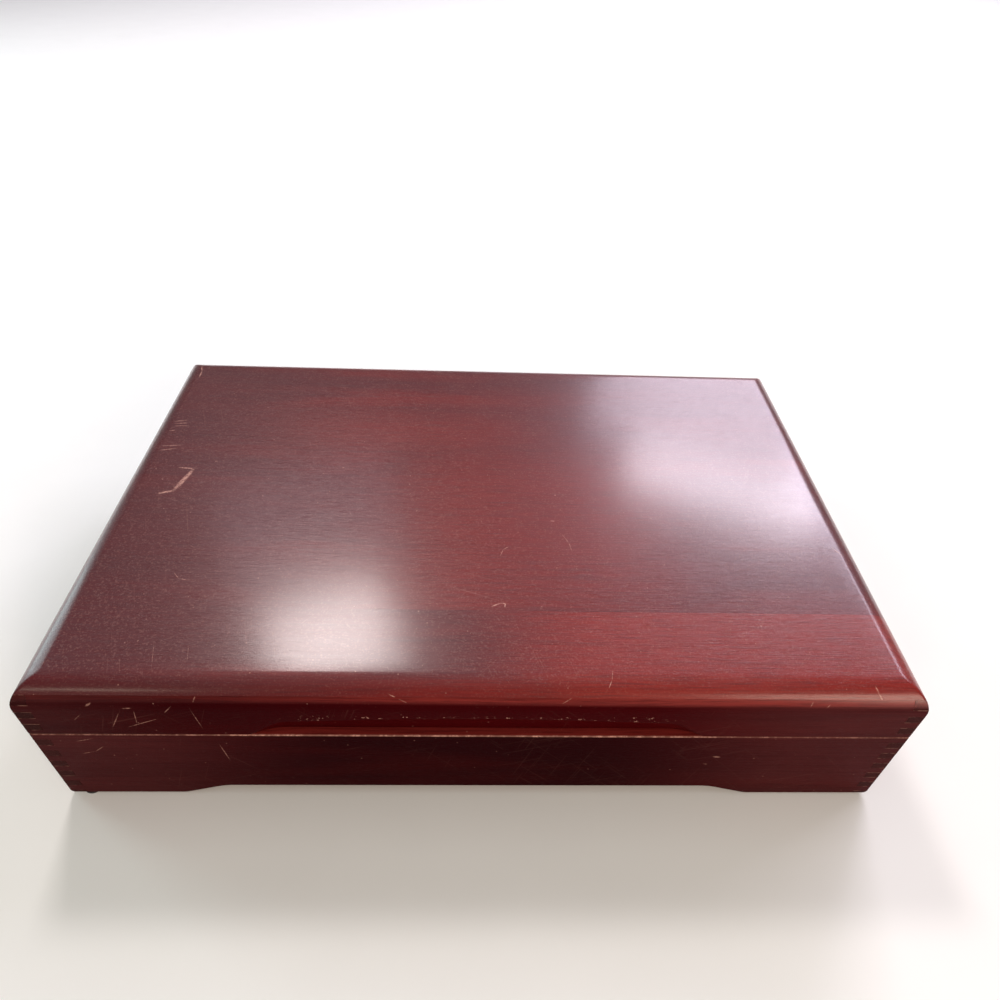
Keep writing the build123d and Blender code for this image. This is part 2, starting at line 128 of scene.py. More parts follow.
def count(name, description, default):
    """A number of like things that a user may change."""
    return IntProperty(name=name, description=description, default=default, min=1)


def power(name, description, default):
    """A light's power in watts that a user may change."""
    return FloatProperty(name=name, description=description, default=default, min=0.0, unit="POWER")


def angle(name, description, degrees):
    """An angle that a user may change."""
    return FloatProperty(name=name, description=description, default=radians(degrees), subtype="ANGLE")


def colour(name, description, default):
    """A colour that a user may change."""
    return FloatVectorProperty(
        name=name, description=description, default=default, subtype="COLOR", size=3, min=0.0, max=1.0
    )


def millimetres(group):
    """The lengths of a group in millimetres, and its counts as they are."""
    values = {key: getattr(group, key) for key in type(group).__annotations__}
    return SimpleNamespace(**{key: v if isinstance(v, int) else v / MM for key, v in values.items()})


# Sizes, colours and settings
class ChestSizes(bpy.types.PropertyGroup):
    """Sizes of the chest's shaped edges and joints."""

    roundover: length("Round-over", "Radius along the lid's four top edges", 12.7)
    corner: length("Upright corners", "Radius of the upright corners in plan", 0.8)
    lower_corner: length("Lower corners", "Radius of the base's lower corners seen from the front", 2.6)
    ease: length("Rim ease", "Radius that wear has given the edges along the split", 0.7)
    finger: length("Finger", "Height of one finger of the corner joints", 4.7625)
    joint_bevel: length("Joint bevel", "Softening of the edges between the fingers", 0.13)
    arch_height: length("Arch height", "Height of the arch under the base's front", 7.3)
    arch_crown: length("Arch crown", "Width of the arch at its top", 243.0)
    arch_mouth: length("Arch mouth", "Width of the arch at the floor", 284.0)
    arch_center: length("Arch centre", "Place of the arch's middle along X", -4.0, least=-200.0)
    arch_crown_radius: length("Arch crown radius", "Rounding at the ends of the arch's top", 24.0)
    arch_mouth_radius: length("Arch mouth radius", "Rounding where the arch meets the foot", 12.0)
    pull_width: length("Pull width", "Width of the finger pull at the split", 210.0)
    pull_height: length("Pull height", "Height at which the pull's two long runs would meet", 16.0)
    pull_shoulder_height: length("Pull shoulder height", "Height of the pull's shoulders", 11.3)
    pull_shoulder_width: length("Pull shoulder width", "Distance between the pull's shoulders", 182.0)
    pull_shoulder_radius: length("Pull shoulder radius", "Rounding of the pull's shoulders", 16.0)
    pull_bend: length("Pull bend", "Half of the length over which the pull's top bends", 46.5)
    pull_depth: length("Pull depth", "Depth of the pull's cove", 4.1)
    pull_run: length("Pull run", "Distance over which the cove reaches its depth", 11.0)
    pull_wear: length("Pull wear", "Softening of the cove's outline", 0.35)


class FittingSizes(bpy.types.PropertyGroup):
    """Sizes of the linings, racks, pads and screws."""

    cloth_edge: length("Cloth edge", "Rounding of the cloth-covered edges", 0.9)
    cloth_crown: length("Cloth crown", "How far the cloth stands proud in the middle of a panel", 0.35)
    bar_edge: length("Bar edge", "Softening of the sharp edges of a notched bar", 0.4)
    slot_slant: length("Slot slant", "How far each side of a slot leans in from its lip to its bottom", 0.15)
    spoon_slots: count("Spoon slots", "Slots in a rack for spoons and forks", 8)
    spoon_width: length("Spoon slot width", "Width of a slot for a spoon or fork", 22.0)
    spoon_depth: length("Spoon slot depth", "Depth of a slot for a spoon or fork", 21.0)
    spoon_lip: length("Spoon slot lip", "Rounding of the lips of a slot for a spoon or fork", 2.4)
    knife_slots: count("Knife slots", "Slots in a knife bar", 12)
    knife_row: length("Knife row", "Distance from the first knife slot to the last", 330.0)
    knife_handle_width: length("Handle slot width", "Width of a slot for a knife's handle", 11.0)
    knife_blade_width: length("Blade slot width", "Width of a slot for a knife's blade", 6.0)
    knife_depth: length("Knife slot depth", "Depth of a slot for a knife", 16.0)
    knife_lip: length("Knife slot lip", "Rounding of the lips of a slot for a knife", 1.3)
    pad_edge: length("Pad edge", "Rounding of a foot pad's lower edge", 0.2)
    screw_spacing: length("Screw spacing", "Distance between the two screws of a hinge leaf", 24.0)
    screw_shank: length("Screw shank", "Radius of a screw's shank", 0.85)
    screw_head: length("Screw head", "Height of a screw's tapered head", 1.0)
    screw_slot_width: length("Screw slot width", "Width of the slot in a screw's head", 0.44)
    screw_slot_depth: length("Screw slot depth", "Depth of the slot in a screw's head", 0.45)
    screw_slot_side: length("Screw slot side", "Run of the slot's sloping sides", 0.06)


class ChestColours(bpy.types.PropertyGroup):
    """Colours of the chest's stain, cloth and fittings, and of the light and shade painted on the walls."""

    stain: colour("Stain", "Purple-brown stain on the lid's top", (0.104, 0.0052, 0.0082))
    stain_dark: colour("Dark stain", "Stain where the top's figure is darkest", (0.060, 0.0060, 0.0090))
    stain_red: colour("Red stain", "Stain where the wood shows redder", (0.262, 0.0130, 0.0062))
    wall_stain: colour("Wall stain", "Brown stain on the walls", (0.066, 0.0130, 0.0140))
    wall_dark: colour("Dark wall stain", "Stain where the walls' figure is darkest", (0.036, 0.0060, 0.0070))
    wall_deep: colour("Deep wall stain", "Wine-red stain in the middle of the walls", (0.038, 0.0006, 0.0018))
    # Painted shade: this darkest colour stands in for shade on the base's middle and the lid's left.
    painted_wall_shade: colour("Shaded wall stain", "Darkest stain, on parts of the walls", (0.011, 0.0008, 0.0018))
    # Painted light: this lighter colour stands in for light falling on the walls' round-over and on the band
    # along the split.
    painted_edge_light: colour("Rounded edges", "Lighter stain where a wall's edge turns over", (0.235, 0.026, 0.021))
    end_grain: colour("End grain", "Stain on the ends of the fingers", (0.024, 0.0062, 0.0050))
    worn: colour("Worn wood", "Pale wood in scratches and along worn edges", (0.66, 0.36, 0.28))
    panel: colour("Panel wood", "Thin unstained panel under the chest", (0.34, 0.20, 0.10))
    cloth: colour("Cloth", "Brown lining cloth", (0.078, 0.036, 0.023))
    brass: colour("Brass", "Hinges and screws", (0.72, 0.50, 0.22))
    rubber: colour("Rubber", "Foot pads", (0.012, 0.012, 0.012))
    floor: colour("Floor", "Pale studio floor", (0.90, 0.93, 0.90))


class StudioSettings(bpy.types.PropertyGroup):
    """Lights and camera."""

    rear_right: power("Rear right", "Power of the large cool light behind on the right", 59.0)
    glow: power("Glow", "Power of the narrow bright light behind on the right", 16.0)
    rear_left: power("Rear left", "Power of the small warm light behind on the left", 18.5)
    key: power("Key", "Power of the wide light overhead", 19.0)
    front: power("Front", "Power of the warm light in front on the right", 32.0)
    side: power("Side", "Power of the cool light at the left", 11.0)
    sky: FloatProperty(name="Sky", description="Brightness of the surroundings", default=0.17, min=0.0)
    lens: FloatProperty(name="Lens", description="Camera's focal length", default=26.177, unit="CAMERA")
    pitch: angle("Pitch", "How far the camera looks down", 41.942)
    yaw: angle("Yaw", "How far the camera looks to the right", 3.090)
    roll: angle("Roll", "Roll of the camera", 3.051)
    place: FloatVectorProperty(
        name="Camera place", description="Where the camera stands", default=(-0.00598, -0.31136, 0.36188),
        subtype="TRANSLATION", unit="LENGTH"
    )


# Meshes
def add_mesh(name, points, faces, material, end_grain=None):
    """A new object from an array of points in millimetres and a list of face arrays, merged and turned
    outwards, shaded smooth with its sharp edges kept."""
    mesh = bpy.data.meshes.new(name)
    loops = np.concatenate([f.ravel() for f in faces])
    sides = np.concatenate([np.full(len(f), f.shape[1]) for f in faces])
    used, loops = np.unique(loops, return_inverse=True)
    points = points[used] * MM
    mesh.vertices.add(len(points))
    mesh.vertices.foreach_set("co", points.astype(np.float32).ravel())
    mesh.loops.add(len(loops))
    mesh.loops.foreach_set("vertex_index", loops.astype(np.int32).ravel())
    mesh.polygons.add(len(sides))
    starts = np.concatenate([[0], np.cumsum(sides)[:-1]])
    mesh.polygons.foreach_set("loop_start", starts.astype(np.int32))
    if end_grain is not None:
        layer = mesh.attributes.new("end_grain", "FLOAT", "POINT")
        layer.data.foreach_set("value", end_grain[used].astype(np.float32))
    mesh.update(calc_edges=True)
    mesh.validate()
    merge(mesh)
    mesh.polygons.foreach_set("use_smooth", np.ones(len(mesh.polygons), bool))
    mesh.set_sharp_from_angle(angle=SHARP)
    mesh.materials.append(material)
    piece = bpy.data.objects.new(name, mesh)
    bpy.context.scene.collection.objects.link(piece)
    return piece


def merge(mesh):
    """Joins points that fall together, drops faces of no area and turns all faces outwards."""
    work = bmesh.new()
    work.from_mesh(mesh)
    bmesh.ops.remove_doubles(work, verts=work.verts, dist=1e-7)
    bmesh.ops.dissolve_degenerate(work, edges=work.edges, dist=1e-8)
    if work.calc_volume(signed=True) < 0:
        bmesh.ops.reverse_faces(work, faces=work.faces)
    work.to_mesh(mesh)
    work.free()


def slab_faces(solid):
    """Quads of a closed slab between two sheets of points on the same grid. solid says which cells are
    there. The outer sheet's points come first, then the inner sheet's, each row of the grid after row."""
    columns, rows = solid.shape[0] + 1, solid.shape[1] + 1
    at = np.arange(columns * rows).reshape(columns, rows)
    inner = columns * rows
    a, b = at[:-1, :-1][solid], at[1:, :-1][solid]
    c, d = at[1:, 1:][solid], at[:-1, 1:][solid]
    quads = [np.stack([a, b, c, d], 1), np.stack([d, c, b, a], 1) + inner]
    edge = np.pad(solid, 1)
    for here, there, low, high in (
        (edge[1:, 1:-1], edge[:-1, 1:-1], at[:, :-1], at[:, 1:]),
        (edge[:-1, 1:-1], edge[1:, 1:-1], at[:, 1:], at[:, :-1]),
        (edge[1:-1, 1:], edge[1:-1, :-1], at[1:, :], at[:-1, :]),
        (edge[1:-1, :-1], edge[1:-1, 1:], at[:-1, :], at[1:, :]),
    ):
        side = here & ~there
        p, q = low[side], high[side]
        quads.append(np.stack([p, q, q + inner, p + inner], 1))
    return quads


def bar_faces(sections, rows):
    """Faces of a closed bar from its sections, each an open chain of points: the skin over the chains,
    the floor from each chain's end back to its start, and the two end sections."""
    at = np.arange(sections * rows).reshape(sections, rows)
    skin = np.stack([at[:-1, :-1], at[1:, :-1], at[1:, 1:], at[:-1, 1:]], -1).reshape(-1, 4)
    floor = np.stack([at[:-1, -1], at[1:, -1], at[1:, 0], at[:-1, 0]], -1)
    return [skin, floor, at[:1], at[-1:, ::-1]]


def arc_inset(distance, radius):
    """How far a quarter round of that radius draws a face in, at a distance from the edge it ends at."""
    reach = np.clip(radius - distance, 0.0, radius)
    return radius - np.sqrt(radius**2 - reach**2)


def round_steps(radius, steps):
    """Distances from an edge at equal turns round a quarter circle of that radius."""
    return radius * (1 - np.cos(np.linspace(0, pi / 2, steps + 1)))


def spread(*stops, step):
    """Evenly spaced values from each stop to the next, no further apart than step."""
    parts = [
        np.linspace(low, high, max(2, int(np.ceil((high - low) / step)) + 1))[:-1]
        for low, high in zip(stops[:-1], stops[1:])
    ]
    return np.concatenate(parts + [[stops[-1]]])


def levels(bands, extra):
    """Sorted heights of the finger bands' edges and of those extra heights that aren't close to one."""
    fixed = sorted({round(v, 5) for band in bands for v in band})
    kept = list(fixed)
    for v in sorted(extra):
        if fixed[0] < v < fixed[-1] and min(abs(v - k) for k in kept) > ROW_ROOM:
            kept.append(v)
    return np.array(sorted(kept))


def finger_bands(top, bottom, finger):
    """Heights (low, high) of the fingers of a corner, from the top edge down."""
    number = max(2, round((top - bottom) / finger))
    edges = [top - k * finger for k in range(number)] + [bottom]
    return [(edges[k + 1], edges[k]) for k in range(number)]


def finish_edges(piece, width):
    """A narrow live bevel on the piece's sharp edges."""
    bevel = piece.modifiers.new("edges", "BEVEL")
    bevel.width = width * MM
    bevel.segments = 2
    bevel.limit_method = "ANGLE"
    bevel.angle_limit = SHARP
    bevel.use_clamp_overlap = False
    bevel.harden_normals = True


def place(piece, body, slot, node):
    """The piece rides on a body and stands for the node, which it hides. slot is not used."""
    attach(piece, body)
    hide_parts(node)


# Walls
def shoulder_distance(x, z, sizes):
    """Signed distance inside the finger pull's outline. The outline is two long runs bent gently at
    the middle and two slanted ends, with a round shoulder between a run and an end: inside the wedge of
    a shoulder it is the radius less the distance to the shoulder's centre, elsewhere the smaller of the
    distances to the two lines."""
    bend = sizes.pull_bend
    reach = np.abs(x)
    reach = np.where(reach < bend, (reach**2 + bend**2) / (2 * bend), reach)
    half, top = sizes.pull_shoulder_width / 2, sizes.pull_shoulder_height
    rise = atan2(sizes.pull_height - top, half)
    slant = atan2(top, sizes.pull_width / 2 - half)
    to_run = (sizes.pull_height - z) * cos(rise) - reach * sin(rise)
    to_end = (half - reach) * sin(slant) + (top - z) * cos(slant)
    radius = sizes.pull_shoulder_radius
    turn = slant - rise
    over_run, over_end = radius - to_run, radius - to_end
    along_run = (over_run - over_end * cos(turn)) / sin(turn) ** 2
    along_end = (over_end - over_run * cos(turn)) / sin(turn) ** 2
    squared = along_run**2 + along_end**2 + 2 * along_run * along_end * cos(turn)
    in_wedge = (along_run > 0) & (along_end > 0)
    return np.where(in_wedge, radius - np.sqrt(np.maximum(squared, 0.0)), np.minimum(to_run, to_end))


def pull_depth(x, z, sizes):
    """Depth of the finger pull's cove at a point of the front face, z above the split: an arc that
    starts at the outline and ends level at its full depth. The arris is a little worn."""
    run, full = sizes.pull_run, sizes.pull_depth
    inside = shoulder_distance(x, z, sizes)
    inside = (inside + np.sqrt(inside**2 + sizes.pull_wear**2)) / 2
    radius = (run**2 + full**2) / (2 * full)
    short = np.clip(run - inside, 0.0, run)
    return np.clip(full - radius + np.sqrt(radius**2 - short**2), 0.0, full)


def arch_rise(x, sizes):
    """Height of the arch's edge above the foot: a slope between two levels, its ends eased by round
    corners whose tangents are as long as the half turn asks."""
    run = (sizes.arch_mouth - sizes.arch_crown) / 2
    slope = atan2(sizes.arch_height, run)
    inward = sizes.arch_mouth / 2 - np.abs(x - sizes.arch_center)
    mouth, crown = sizes.arch_mouth_radius, sizes.arch_crown_radius
    mouth_reach, crown_reach = mouth * np.tan(slope / 2), crown * np.tan(slope / 2)
    from_mouth = np.clip(inward + mouth_reach, 0, mouth)
    low = mouth - np.sqrt(mouth**2 - from_mouth**2)
    height = np.where(inward < mouth_reach * cos(slope), low, inward * np.tan(slope))
    from_crown = np.clip(crown_reach - (inward - run), 0, crown)
    high = sizes.arch_height - crown + np.sqrt(crown**2 - from_crown**2)
    height = np.where(inward - run > -crown_reach * cos(slope), high, height)
    return np.where(inward < -mouth_reach, 0.0, height)


def back_bevel(height):
    """Inset of the bevel along a back rim, at a height from the split: it starts a hair inside the
    hinge's axis and leans half of the lid's opening angle."""
    return np.maximum(HALF_DEPTH - HINGE_Y + BEVEL_CLEARANCE - height / np.tan(BEVEL_LEAN), 0.0)


def lid_insets(z, sizes):
    """How far the lid's section at height z lies inside the chest's box at its sides, front and back:
    the quarter round at the top and the worn edge at the split, and at the back the bevel that the
    open lid stops on."""
    edge = arc_inset(CROWN - z, sizes.roundover) + arc_inset(z - RIM, sizes.ease)
    return edge, edge, np.maximum(edge, back_bevel(z - RIM))


def base_insets(z, sizes):
    """The same for the base: worn edges at the split and the foot, and round lower corners at the
    sides."""
    rim = arc_inset(RIM - z, sizes.ease)
    edge = rim + arc_inset(z - FOOT, sizes.ease)
    return rim + arc_inset(z - FOOT, sizes.lower_corner), edge, np.maximum(edge, back_bevel(RIM - z))


def end_zone(root, end, corner):
    """Places along a wall from the finger's root to its end, and how far the round corner draws the
    outer face in at each: a straight run, then a quarter round. end varies with height."""
    along = np.linspace(0.0, 1.0, RUN_STEPS + 1)[1:, None]
    turn = np.linspace(0.0, pi / 2, BEND_STEPS + 1)[1:, None]
    run = root + along * (end - corner - root)
    bend = end - corner + corner * np.sin(turn)
    drop = np.concatenate([np.zeros_like(run), corner * (1 - np.cos(turn)) + 0 * bend])
    return np.concatenate([run, bend]), drop


def wall(name, middle, rows, own, insets, sizes, material, shape=None, slots=()):
    """A wall with its fingers, named after its body and its side. The outer face is the chest's plan
    section at each height, the inner face is flat, and cells of the grid are left out where the other
    wall's fingers pass. middle are the places along the wall between the finger roots, rows the heights
    and own the bands of this wall's own fingers. shape(along, heights) gives extra depth and new heights.
    In the slots, spans along the wall, the cells within LEAF_ROOM of the split are left out too."""
    body, side = name.split("_")
    sides, front, back = insets(rows, sizes)
    long_wall = side in ("front", "back")
    outward = -1 if side in ("front", "left") else 1
    if long_wall:
        root, half_long, half_thick, inner_face = ROOT_X, HALF_WIDTH, HALF_DEPTH, ROOT_Y
        face, low_end, high_end = (front if side == "front" else back), sides, sides
    else:
        root, half_long, half_thick, inner_face = ROOT_Y, HALF_DEPTH, HALF_WIDTH, ROOT_X
        face, low_end, high_end = sides, front, back
    low, low_drop = end_zone(root, half_long - low_end, sizes.corner)
    high, high_drop = end_zone(root, half_long - high_end, sizes.corner)
    centre = np.repeat(middle[:, None], len(rows), 1)
    along = np.concatenate([-low[::-1], centre, high])
    drop = np.concatenate([low_drop[::-1], np.zeros_like(centre), high_drop])
    heights = np.repeat(rows[None, :], len(along), 0)
    outer = half_thick - face - drop
    if shape:
        depth, heights = shape(along, heights)
        outer = outer - depth
    solid = np.ones((len(along) - 1, len(rows) - 1), bool)
    mid = (rows[:-1] + rows[1:]) / 2
    absent = np.array([not any(bottom < m < top for bottom, top in own) for m in mid])
    solid[: len(low), absent] = False
    solid[-len(low) :, absent] = False
    for start, stop in slots:
        inside = (along[:-1, 0] >= start - SAME) & (along[1:, 0] <= stop + SAME)
        solid[np.ix_(inside, np.abs(mid - RIM) < LEAF_ROOM)] = False
    long = np.stack([along, along])
    thick = np.stack([outer, np.full_like(outer, inner_face)]) * outward
    tall = np.stack([heights, heights])
    order = (long, thick, tall) if long_wall else (thick, long, tall)
    ends = np.zeros_like(along)
    ends[:BEND_STEPS] = 1.0
    ends[-BEND_STEPS:] = 1.0
    points = np.stack(order, -1).reshape(-1, 3)
    piece = add_mesh(name, points, slab_faces(solid), material, np.tile(ends.ravel(), 2))
    finish_edges(piece, sizes.joint_bevel)
    place(piece, body, "mahogany_dark", f"{name}_wall")


def between_steps(places, start, stop):
    """Which places lie from the last copy of start to the first copy of stop. A face steps in where a
    place stands twice."""
    first = np.flatnonzero(np.abs(places - start) < SAME)[-1]
    last = np.flatnonzero(np.abs(places - stop) < SAME)[0]
    at = np.arange(len(places))
    return (at >= first) & (at <= last)


def hinge_rooms(along, heights):
    """The shape of a back wall: rooms for the hinges' barrels, each with a flat floor."""
    columns = np.any([between_steps(along[:, 0], *span) for span in HINGE_SPANS], axis=0)
    rows = heights[0]
    levels_in = between_steps(rows, max(rows[0], RIM - BARREL_ROOM), min(rows[-1], RIM + BARREL_ROOM))
    depth = HALF_DEPTH - HINGE_Y + BARREL_ROOM - back_bevel(np.abs(heights - RIM))
    return np.where(columns[:, None] & levels_in[None, :], depth, 0.0), heights


def four_walls(body, bands, own, front, shape, rows, back_extra, insets, sizes):
    """The walls of a body. The front and back walls have every second band from own, the side walls
    the others. front holds the front wall's columns and rows, and rows is for the side walls. The back
    wall has rows near the rim and at back_extra, with two copies of each edge of the hinges' rooms."""
    long_wood, side_wood = stained_wall("walls_long", "X"), stained_wall("walls_side", "Y")
    long_bands, side_bands = bands[own::2], bands[1 - own :: 2]
    wall(f"{body}_front", *front, long_bands, insets, sizes, long_wood, shape)
    up = 1 if body == "lid" else -1
    edge = RIM + up * BARREL_ROOM
    back_rows = levels(bands, [*back_extra, *(RIM + up * row for row in BACK_RIM_ROWS), edge])
    stops = sum(HINGE_SPANS, ())
    columns = spread(*sorted((-ROOT_X, ROOT_X, *stops)), step=COLUMN_STEP)
    wall(f"{body}_back", np.sort([*columns, *stops]), np.sort([*back_rows, edge]), long_bands,
         insets, sizes, long_wood, hinge_rooms, HINGE_SPANS)
    middle = spread(-ROOT_Y, ROOT_Y, step=COLUMN_STEP)
    for side in ("left", "right"):
        wall(f"{body}_{side}", middle, rows, side_bands, insets, sizes, side_wood)


class CHEST_OT_base_walls(bpy.types.Operator):
    """Builds the four finger-jointed walls of the base"""

    bl_idname = "chest.base_walls"
    bl_label = "Base walls"

    def execute(self, context):
        sizes = millimetres(context.scene.chest_sizes)
        bands = finger_bands(RIM, FOOT, sizes.finger)
        foot = FOOT + round_steps(sizes.lower_corner, LOWER_CORNER_STEPS)
        rim = [*(RIM - round_steps(sizes.ease, EASE_STEPS)), *(RIM - row for row in BASE_RIM_ROWS)]
        rows = levels(bands, [*foot, *rim])
        inner = (sizes.arch_crown - sizes.arch_crown_radius) / 2
        outer = (sizes.arch_mouth + sizes.arch_mouth_radius) / 2
        slope = spread(inner, outer, step=ARCH_STEP)
        columns = np.concatenate([
            spread(-ROOT_X, ROOT_X, step=COLUMN_STEP), sizes.arch_center - slope, sizes.arch_center + slope
        ])

        def arch(along, heights):
            """The arch lifts the foot edge, and less and less of the rows up to a third of the wall."""
            share = np.clip(1 - 3 * (heights - FOOT) / (RIM - FOOT), 0.0, 1.0)
            return np.zeros_like(along), heights + share * arch_rise(along, sizes)

        front = np.unique(columns.round(4)), rows
        four_walls("base", bands, 0, front, arch, rows, foot, base_insets, sizes)
        return {"FINISHED"}


class CHEST_OT_lid_walls(bpy.types.Operator):
    """Builds the four finger-jointed walls of the lid, with the finger pull in the front one"""

    bl_idname = "chest.lid_walls"
    bl_label = "Lid walls"

    def execute(self, context):
        sizes = millimetres(context.scene.chest_sizes)
        bands = finger_bands(FRAME_TOP, RIM, sizes.finger)
        rim = RIM + round_steps(sizes.ease, EASE_STEPS)
        bend = CROWN - sizes.roundover * (1 - np.sin(np.linspace(0, pi / 4, ROUNDOVER_STEPS + 1)))
        reach, above = sizes.pull_width / 2 + PULL_MARGIN[0], sizes.pull_height + PULL_MARGIN[1]
        pull_rows = RIM + np.arange(PULL_FIRST_ROW, above, PULL_ROW_STEP)
        columns = np.concatenate([
            spread(-ROOT_X, -reach, step=COLUMN_STEP), spread(-reach, reach, step=PULL_STEP),
            spread(reach, ROOT_X, step=COLUMN_STEP),
        ])

        def pull(along, heights):
            """The cove of the finger pull."""
            return pull_depth(along, heights - RIM, sizes), heights

        front = np.unique(columns.round(4)), levels(bands, [*rim, *pull_rows, *bend])
        four_walls("lid", bands, 1, front, pull, levels(bands, [*rim, *bend]), bend, lid_insets, sizes)
        return {"FINISHED"}


def top_board(name, low_y, high_y, sizes, material):
    """A board of the lid's top. The grid lies in plan. Near an outer edge its lines follow the
    quarter round's steps, and at a corner each ring of points bends round a quarter circle. The height
    is the round-over's at the ring's distance from the chest's box."""
    radius, corner = sizes.roundover, sizes.corner
    flat_x, flat_y = HALF_WIDTH - radius, HALF_DEPTH - radius
    first = np.arccos(1 - arc_inset(CROWN - FRAME_TOP, radius) / radius)
    ring = radius * (1 - np.cos(np.linspace(first, pi / 2, RING_STEPS + 1)))
    middle = spread(-flat_x, flat_x, step=BOARD_STEP)[1:-1]
    x = np.concatenate([ring - HALF_WIDTH, middle, (HALF_WIDTH - ring)[::-1]])
    y = spread(max(low_y, -flat_y), min(high_y, flat_y), step=BOARD_STEP)
    if low_y <= -ROOT_Y:
        y = np.concatenate([(ring - HALF_DEPTH)[:-1], y])
    if high_y >= ROOT_Y:
        y = np.concatenate([y, (HALF_DEPTH - ring)[::-1][1:]])
    plan_x, plan_y = np.meshgrid(x, y, indexing="ij")
    from_side, from_end = HALF_WIDTH - np.abs(plan_x), HALF_DEPTH - np.abs(plan_y)
    ring_at, apart = np.minimum(from_side, from_end), np.abs(from_side - from_end)
    turn = pi / 4 * (1 - np.minimum(apart / corner, 1.0))
    near = ring_at + corner * (1 - np.cos(turn))
    far = ring_at + np.where(turn > 0, corner * (1 - np.sin(turn)), apart)
    side_near = from_side < from_end
    plan_x = np.sign(plan_x) * (HALF_WIDTH - np.where(side_near, near, far))
    plan_y = np.sign(plan_y) * (HALF_DEPTH - np.where(side_near, far, near))
    top = CROWN - arc_inset(ring_at, radius)
    bottom = np.full_like(top, FRAME_TOP)
    points = np.stack([np.stack([plan_x, plan_y, height], -1) for height in (top, bottom)])
    faces = slab_faces(np.ones((len(x) - 1, len(y) - 1), bool))
    return add_mesh(name, points.reshape(-1, 3), faces, material)


class CHEST_OT_top_boards(bpy.types.Operator):
    """Builds the two boards of the lid's top"""

    bl_idname = "chest.top_boards"
    bl_label = "Top boards"

    def execute(self, context):
        sizes = millimetres(context.scene.chest_sizes)
        wood = stained_top()
        for side, low, high in (("front", -HALF_DEPTH, GLUE_LINE), ("rear", GLUE_LINE, HALF_DEPTH)):
            piece = top_board(f"top_{side}_board", low, high, sizes, wood)
            place(piece, "lid", "mahogany_top", f"lid_top_{side}_board")
        return {"FINISHED"}


# Linings, pads and racks
def edge_lattice(span, edge):
    """Places across a panel: close together over its round edges, wide apart between."""
    steps = round_steps(edge, CLOTH_EDGE_STEPS)
    middle = spread(edge, span - edge, step=CLOTH_STEP)[1:-1]
    return np.concatenate([steps, middle, (span - steps)[::-1]])


def cloth_panel(name, node, axis, faces, sizes, material):
    """A card panel under cloth in the space of a node. axis is the thin one, and faces is the way the
    cloth looks along it. The cloth's height over the card's back is its thickness less the quarter
    round at the edges, with a crown that falls off as a fourth power and a slow waviness."""
    low, high = np.array(corners(node))
    plane = [k for k in range(3) if k != axis]
    u, v = (edge_lattice(high[k] - low[k], sizes.cloth_edge) for k in plane)
    across, along = np.meshgrid(u, v, indexing="ij")
    rim = np.minimum(np.minimum(across, u[-1] - across), np.minimum(along, v[-1] - along))
    crown = (1 - (2 * across / u[-1] - 1) ** 4) * (1 - (2 * along / v[-1] - 1) ** 4)
    wave = 0.5 + 0.25 * np.sin(across / 23 + along / 61) + 0.25 * np.sin(across / 47 - along / 19 + 2)
    drop = sizes.cloth_crown * (1 - crown * wave) + arc_inset(rim, sizes.cloth_edge)
    sheets = []
    for lift in (high[axis] - low[axis] - drop, np.zeros_like(drop)):
        point = [None] * 3
        point[plane[0]] = low[plane[0]] + across
        point[plane[1]] = low[plane[1]] + along
        point[axis] = low[axis] + lift if faces > 0 else high[axis] - lift
        sheets.append(np.stack(point, -1))
    quads = slab_faces(np.ones((len(u) - 1, len(v) - 1), bool))
    piece = add_mesh(name, np.stack(sheets).reshape(-1, 3), quads, material)
    return piece


def slot_profile(span, height, slots, inset, width, depth, lip, slant):
    """Places along a notched bar and the height of its top edge there: level lands, and U-shaped slots
    whose sides lean a little, with round bottoms and lips. inset is the first slot's distance from the
    bar's end."""
    half, bottom = width / 2, 2 * lip
    lip_turn, bottom_turn = np.linspace(0, pi / 2, 6)[1:], np.linspace(0, pi / 2, 7)[1:]
    run = np.linspace(0, 1, 4)[1:]
    local = np.concatenate([
        [-half - lip], -half - lip * (1 - np.sin(lip_turn)), -half + slant * run,
        -half + slant + bottom * (1 - np.cos(bottom_turn)),
    ])
    drop = np.concatenate([
        [0.0], lip * (1 - np.cos(lip_turn)), lip + (depth - lip - bottom) * run,
        depth - bottom + bottom * np.sin(bottom_turn),
    ])
    centres = np.linspace(inset, span - inset, slots)
    local = np.concatenate([local, -local[::-1]])
    drop = np.concatenate([drop, drop[::-1]])
    x = np.concatenate([[0.0], (centres[:, None] + local[None, :]).ravel(), [span]])
    return x, height - np.concatenate([[0.0], np.tile(drop, slots), [0.0]])


def notched_bar(name, node, profile, up, sizes, material):
    """A cloth-covered bar in the space of a node. At each place along it the section is a rectangle
    with round upper edges, as high as the profile says."""
    low, high = np.array(corners(node))
    x, z = profile
    thick = high[1] - low[1]
    steps = round_steps(sizes.cloth_edge, CLOTH_EDGE_STEPS)
    falls = steps[::-1]
    y = np.concatenate([[0.0], steps, (thick - steps)[::-1], [thick]])
    top = z[:, None] - np.concatenate([falls, falls[::-1]])[None, :]
    tall = np.pad(top, ((0, 0), (1, 1)))
    long, thick_at = np.meshgrid(x, y, indexing="ij")
    height = low[2] + tall if up > 0 else high[2] - tall
    points = np.stack([low[0] + long, low[1] + thick_at, height], -1).reshape(-1, 3)
    piece = add_mesh(name, points, bar_faces(len(x), len(y)), material)
    finish_edges(piece, sizes.bar_edge)
    return piece


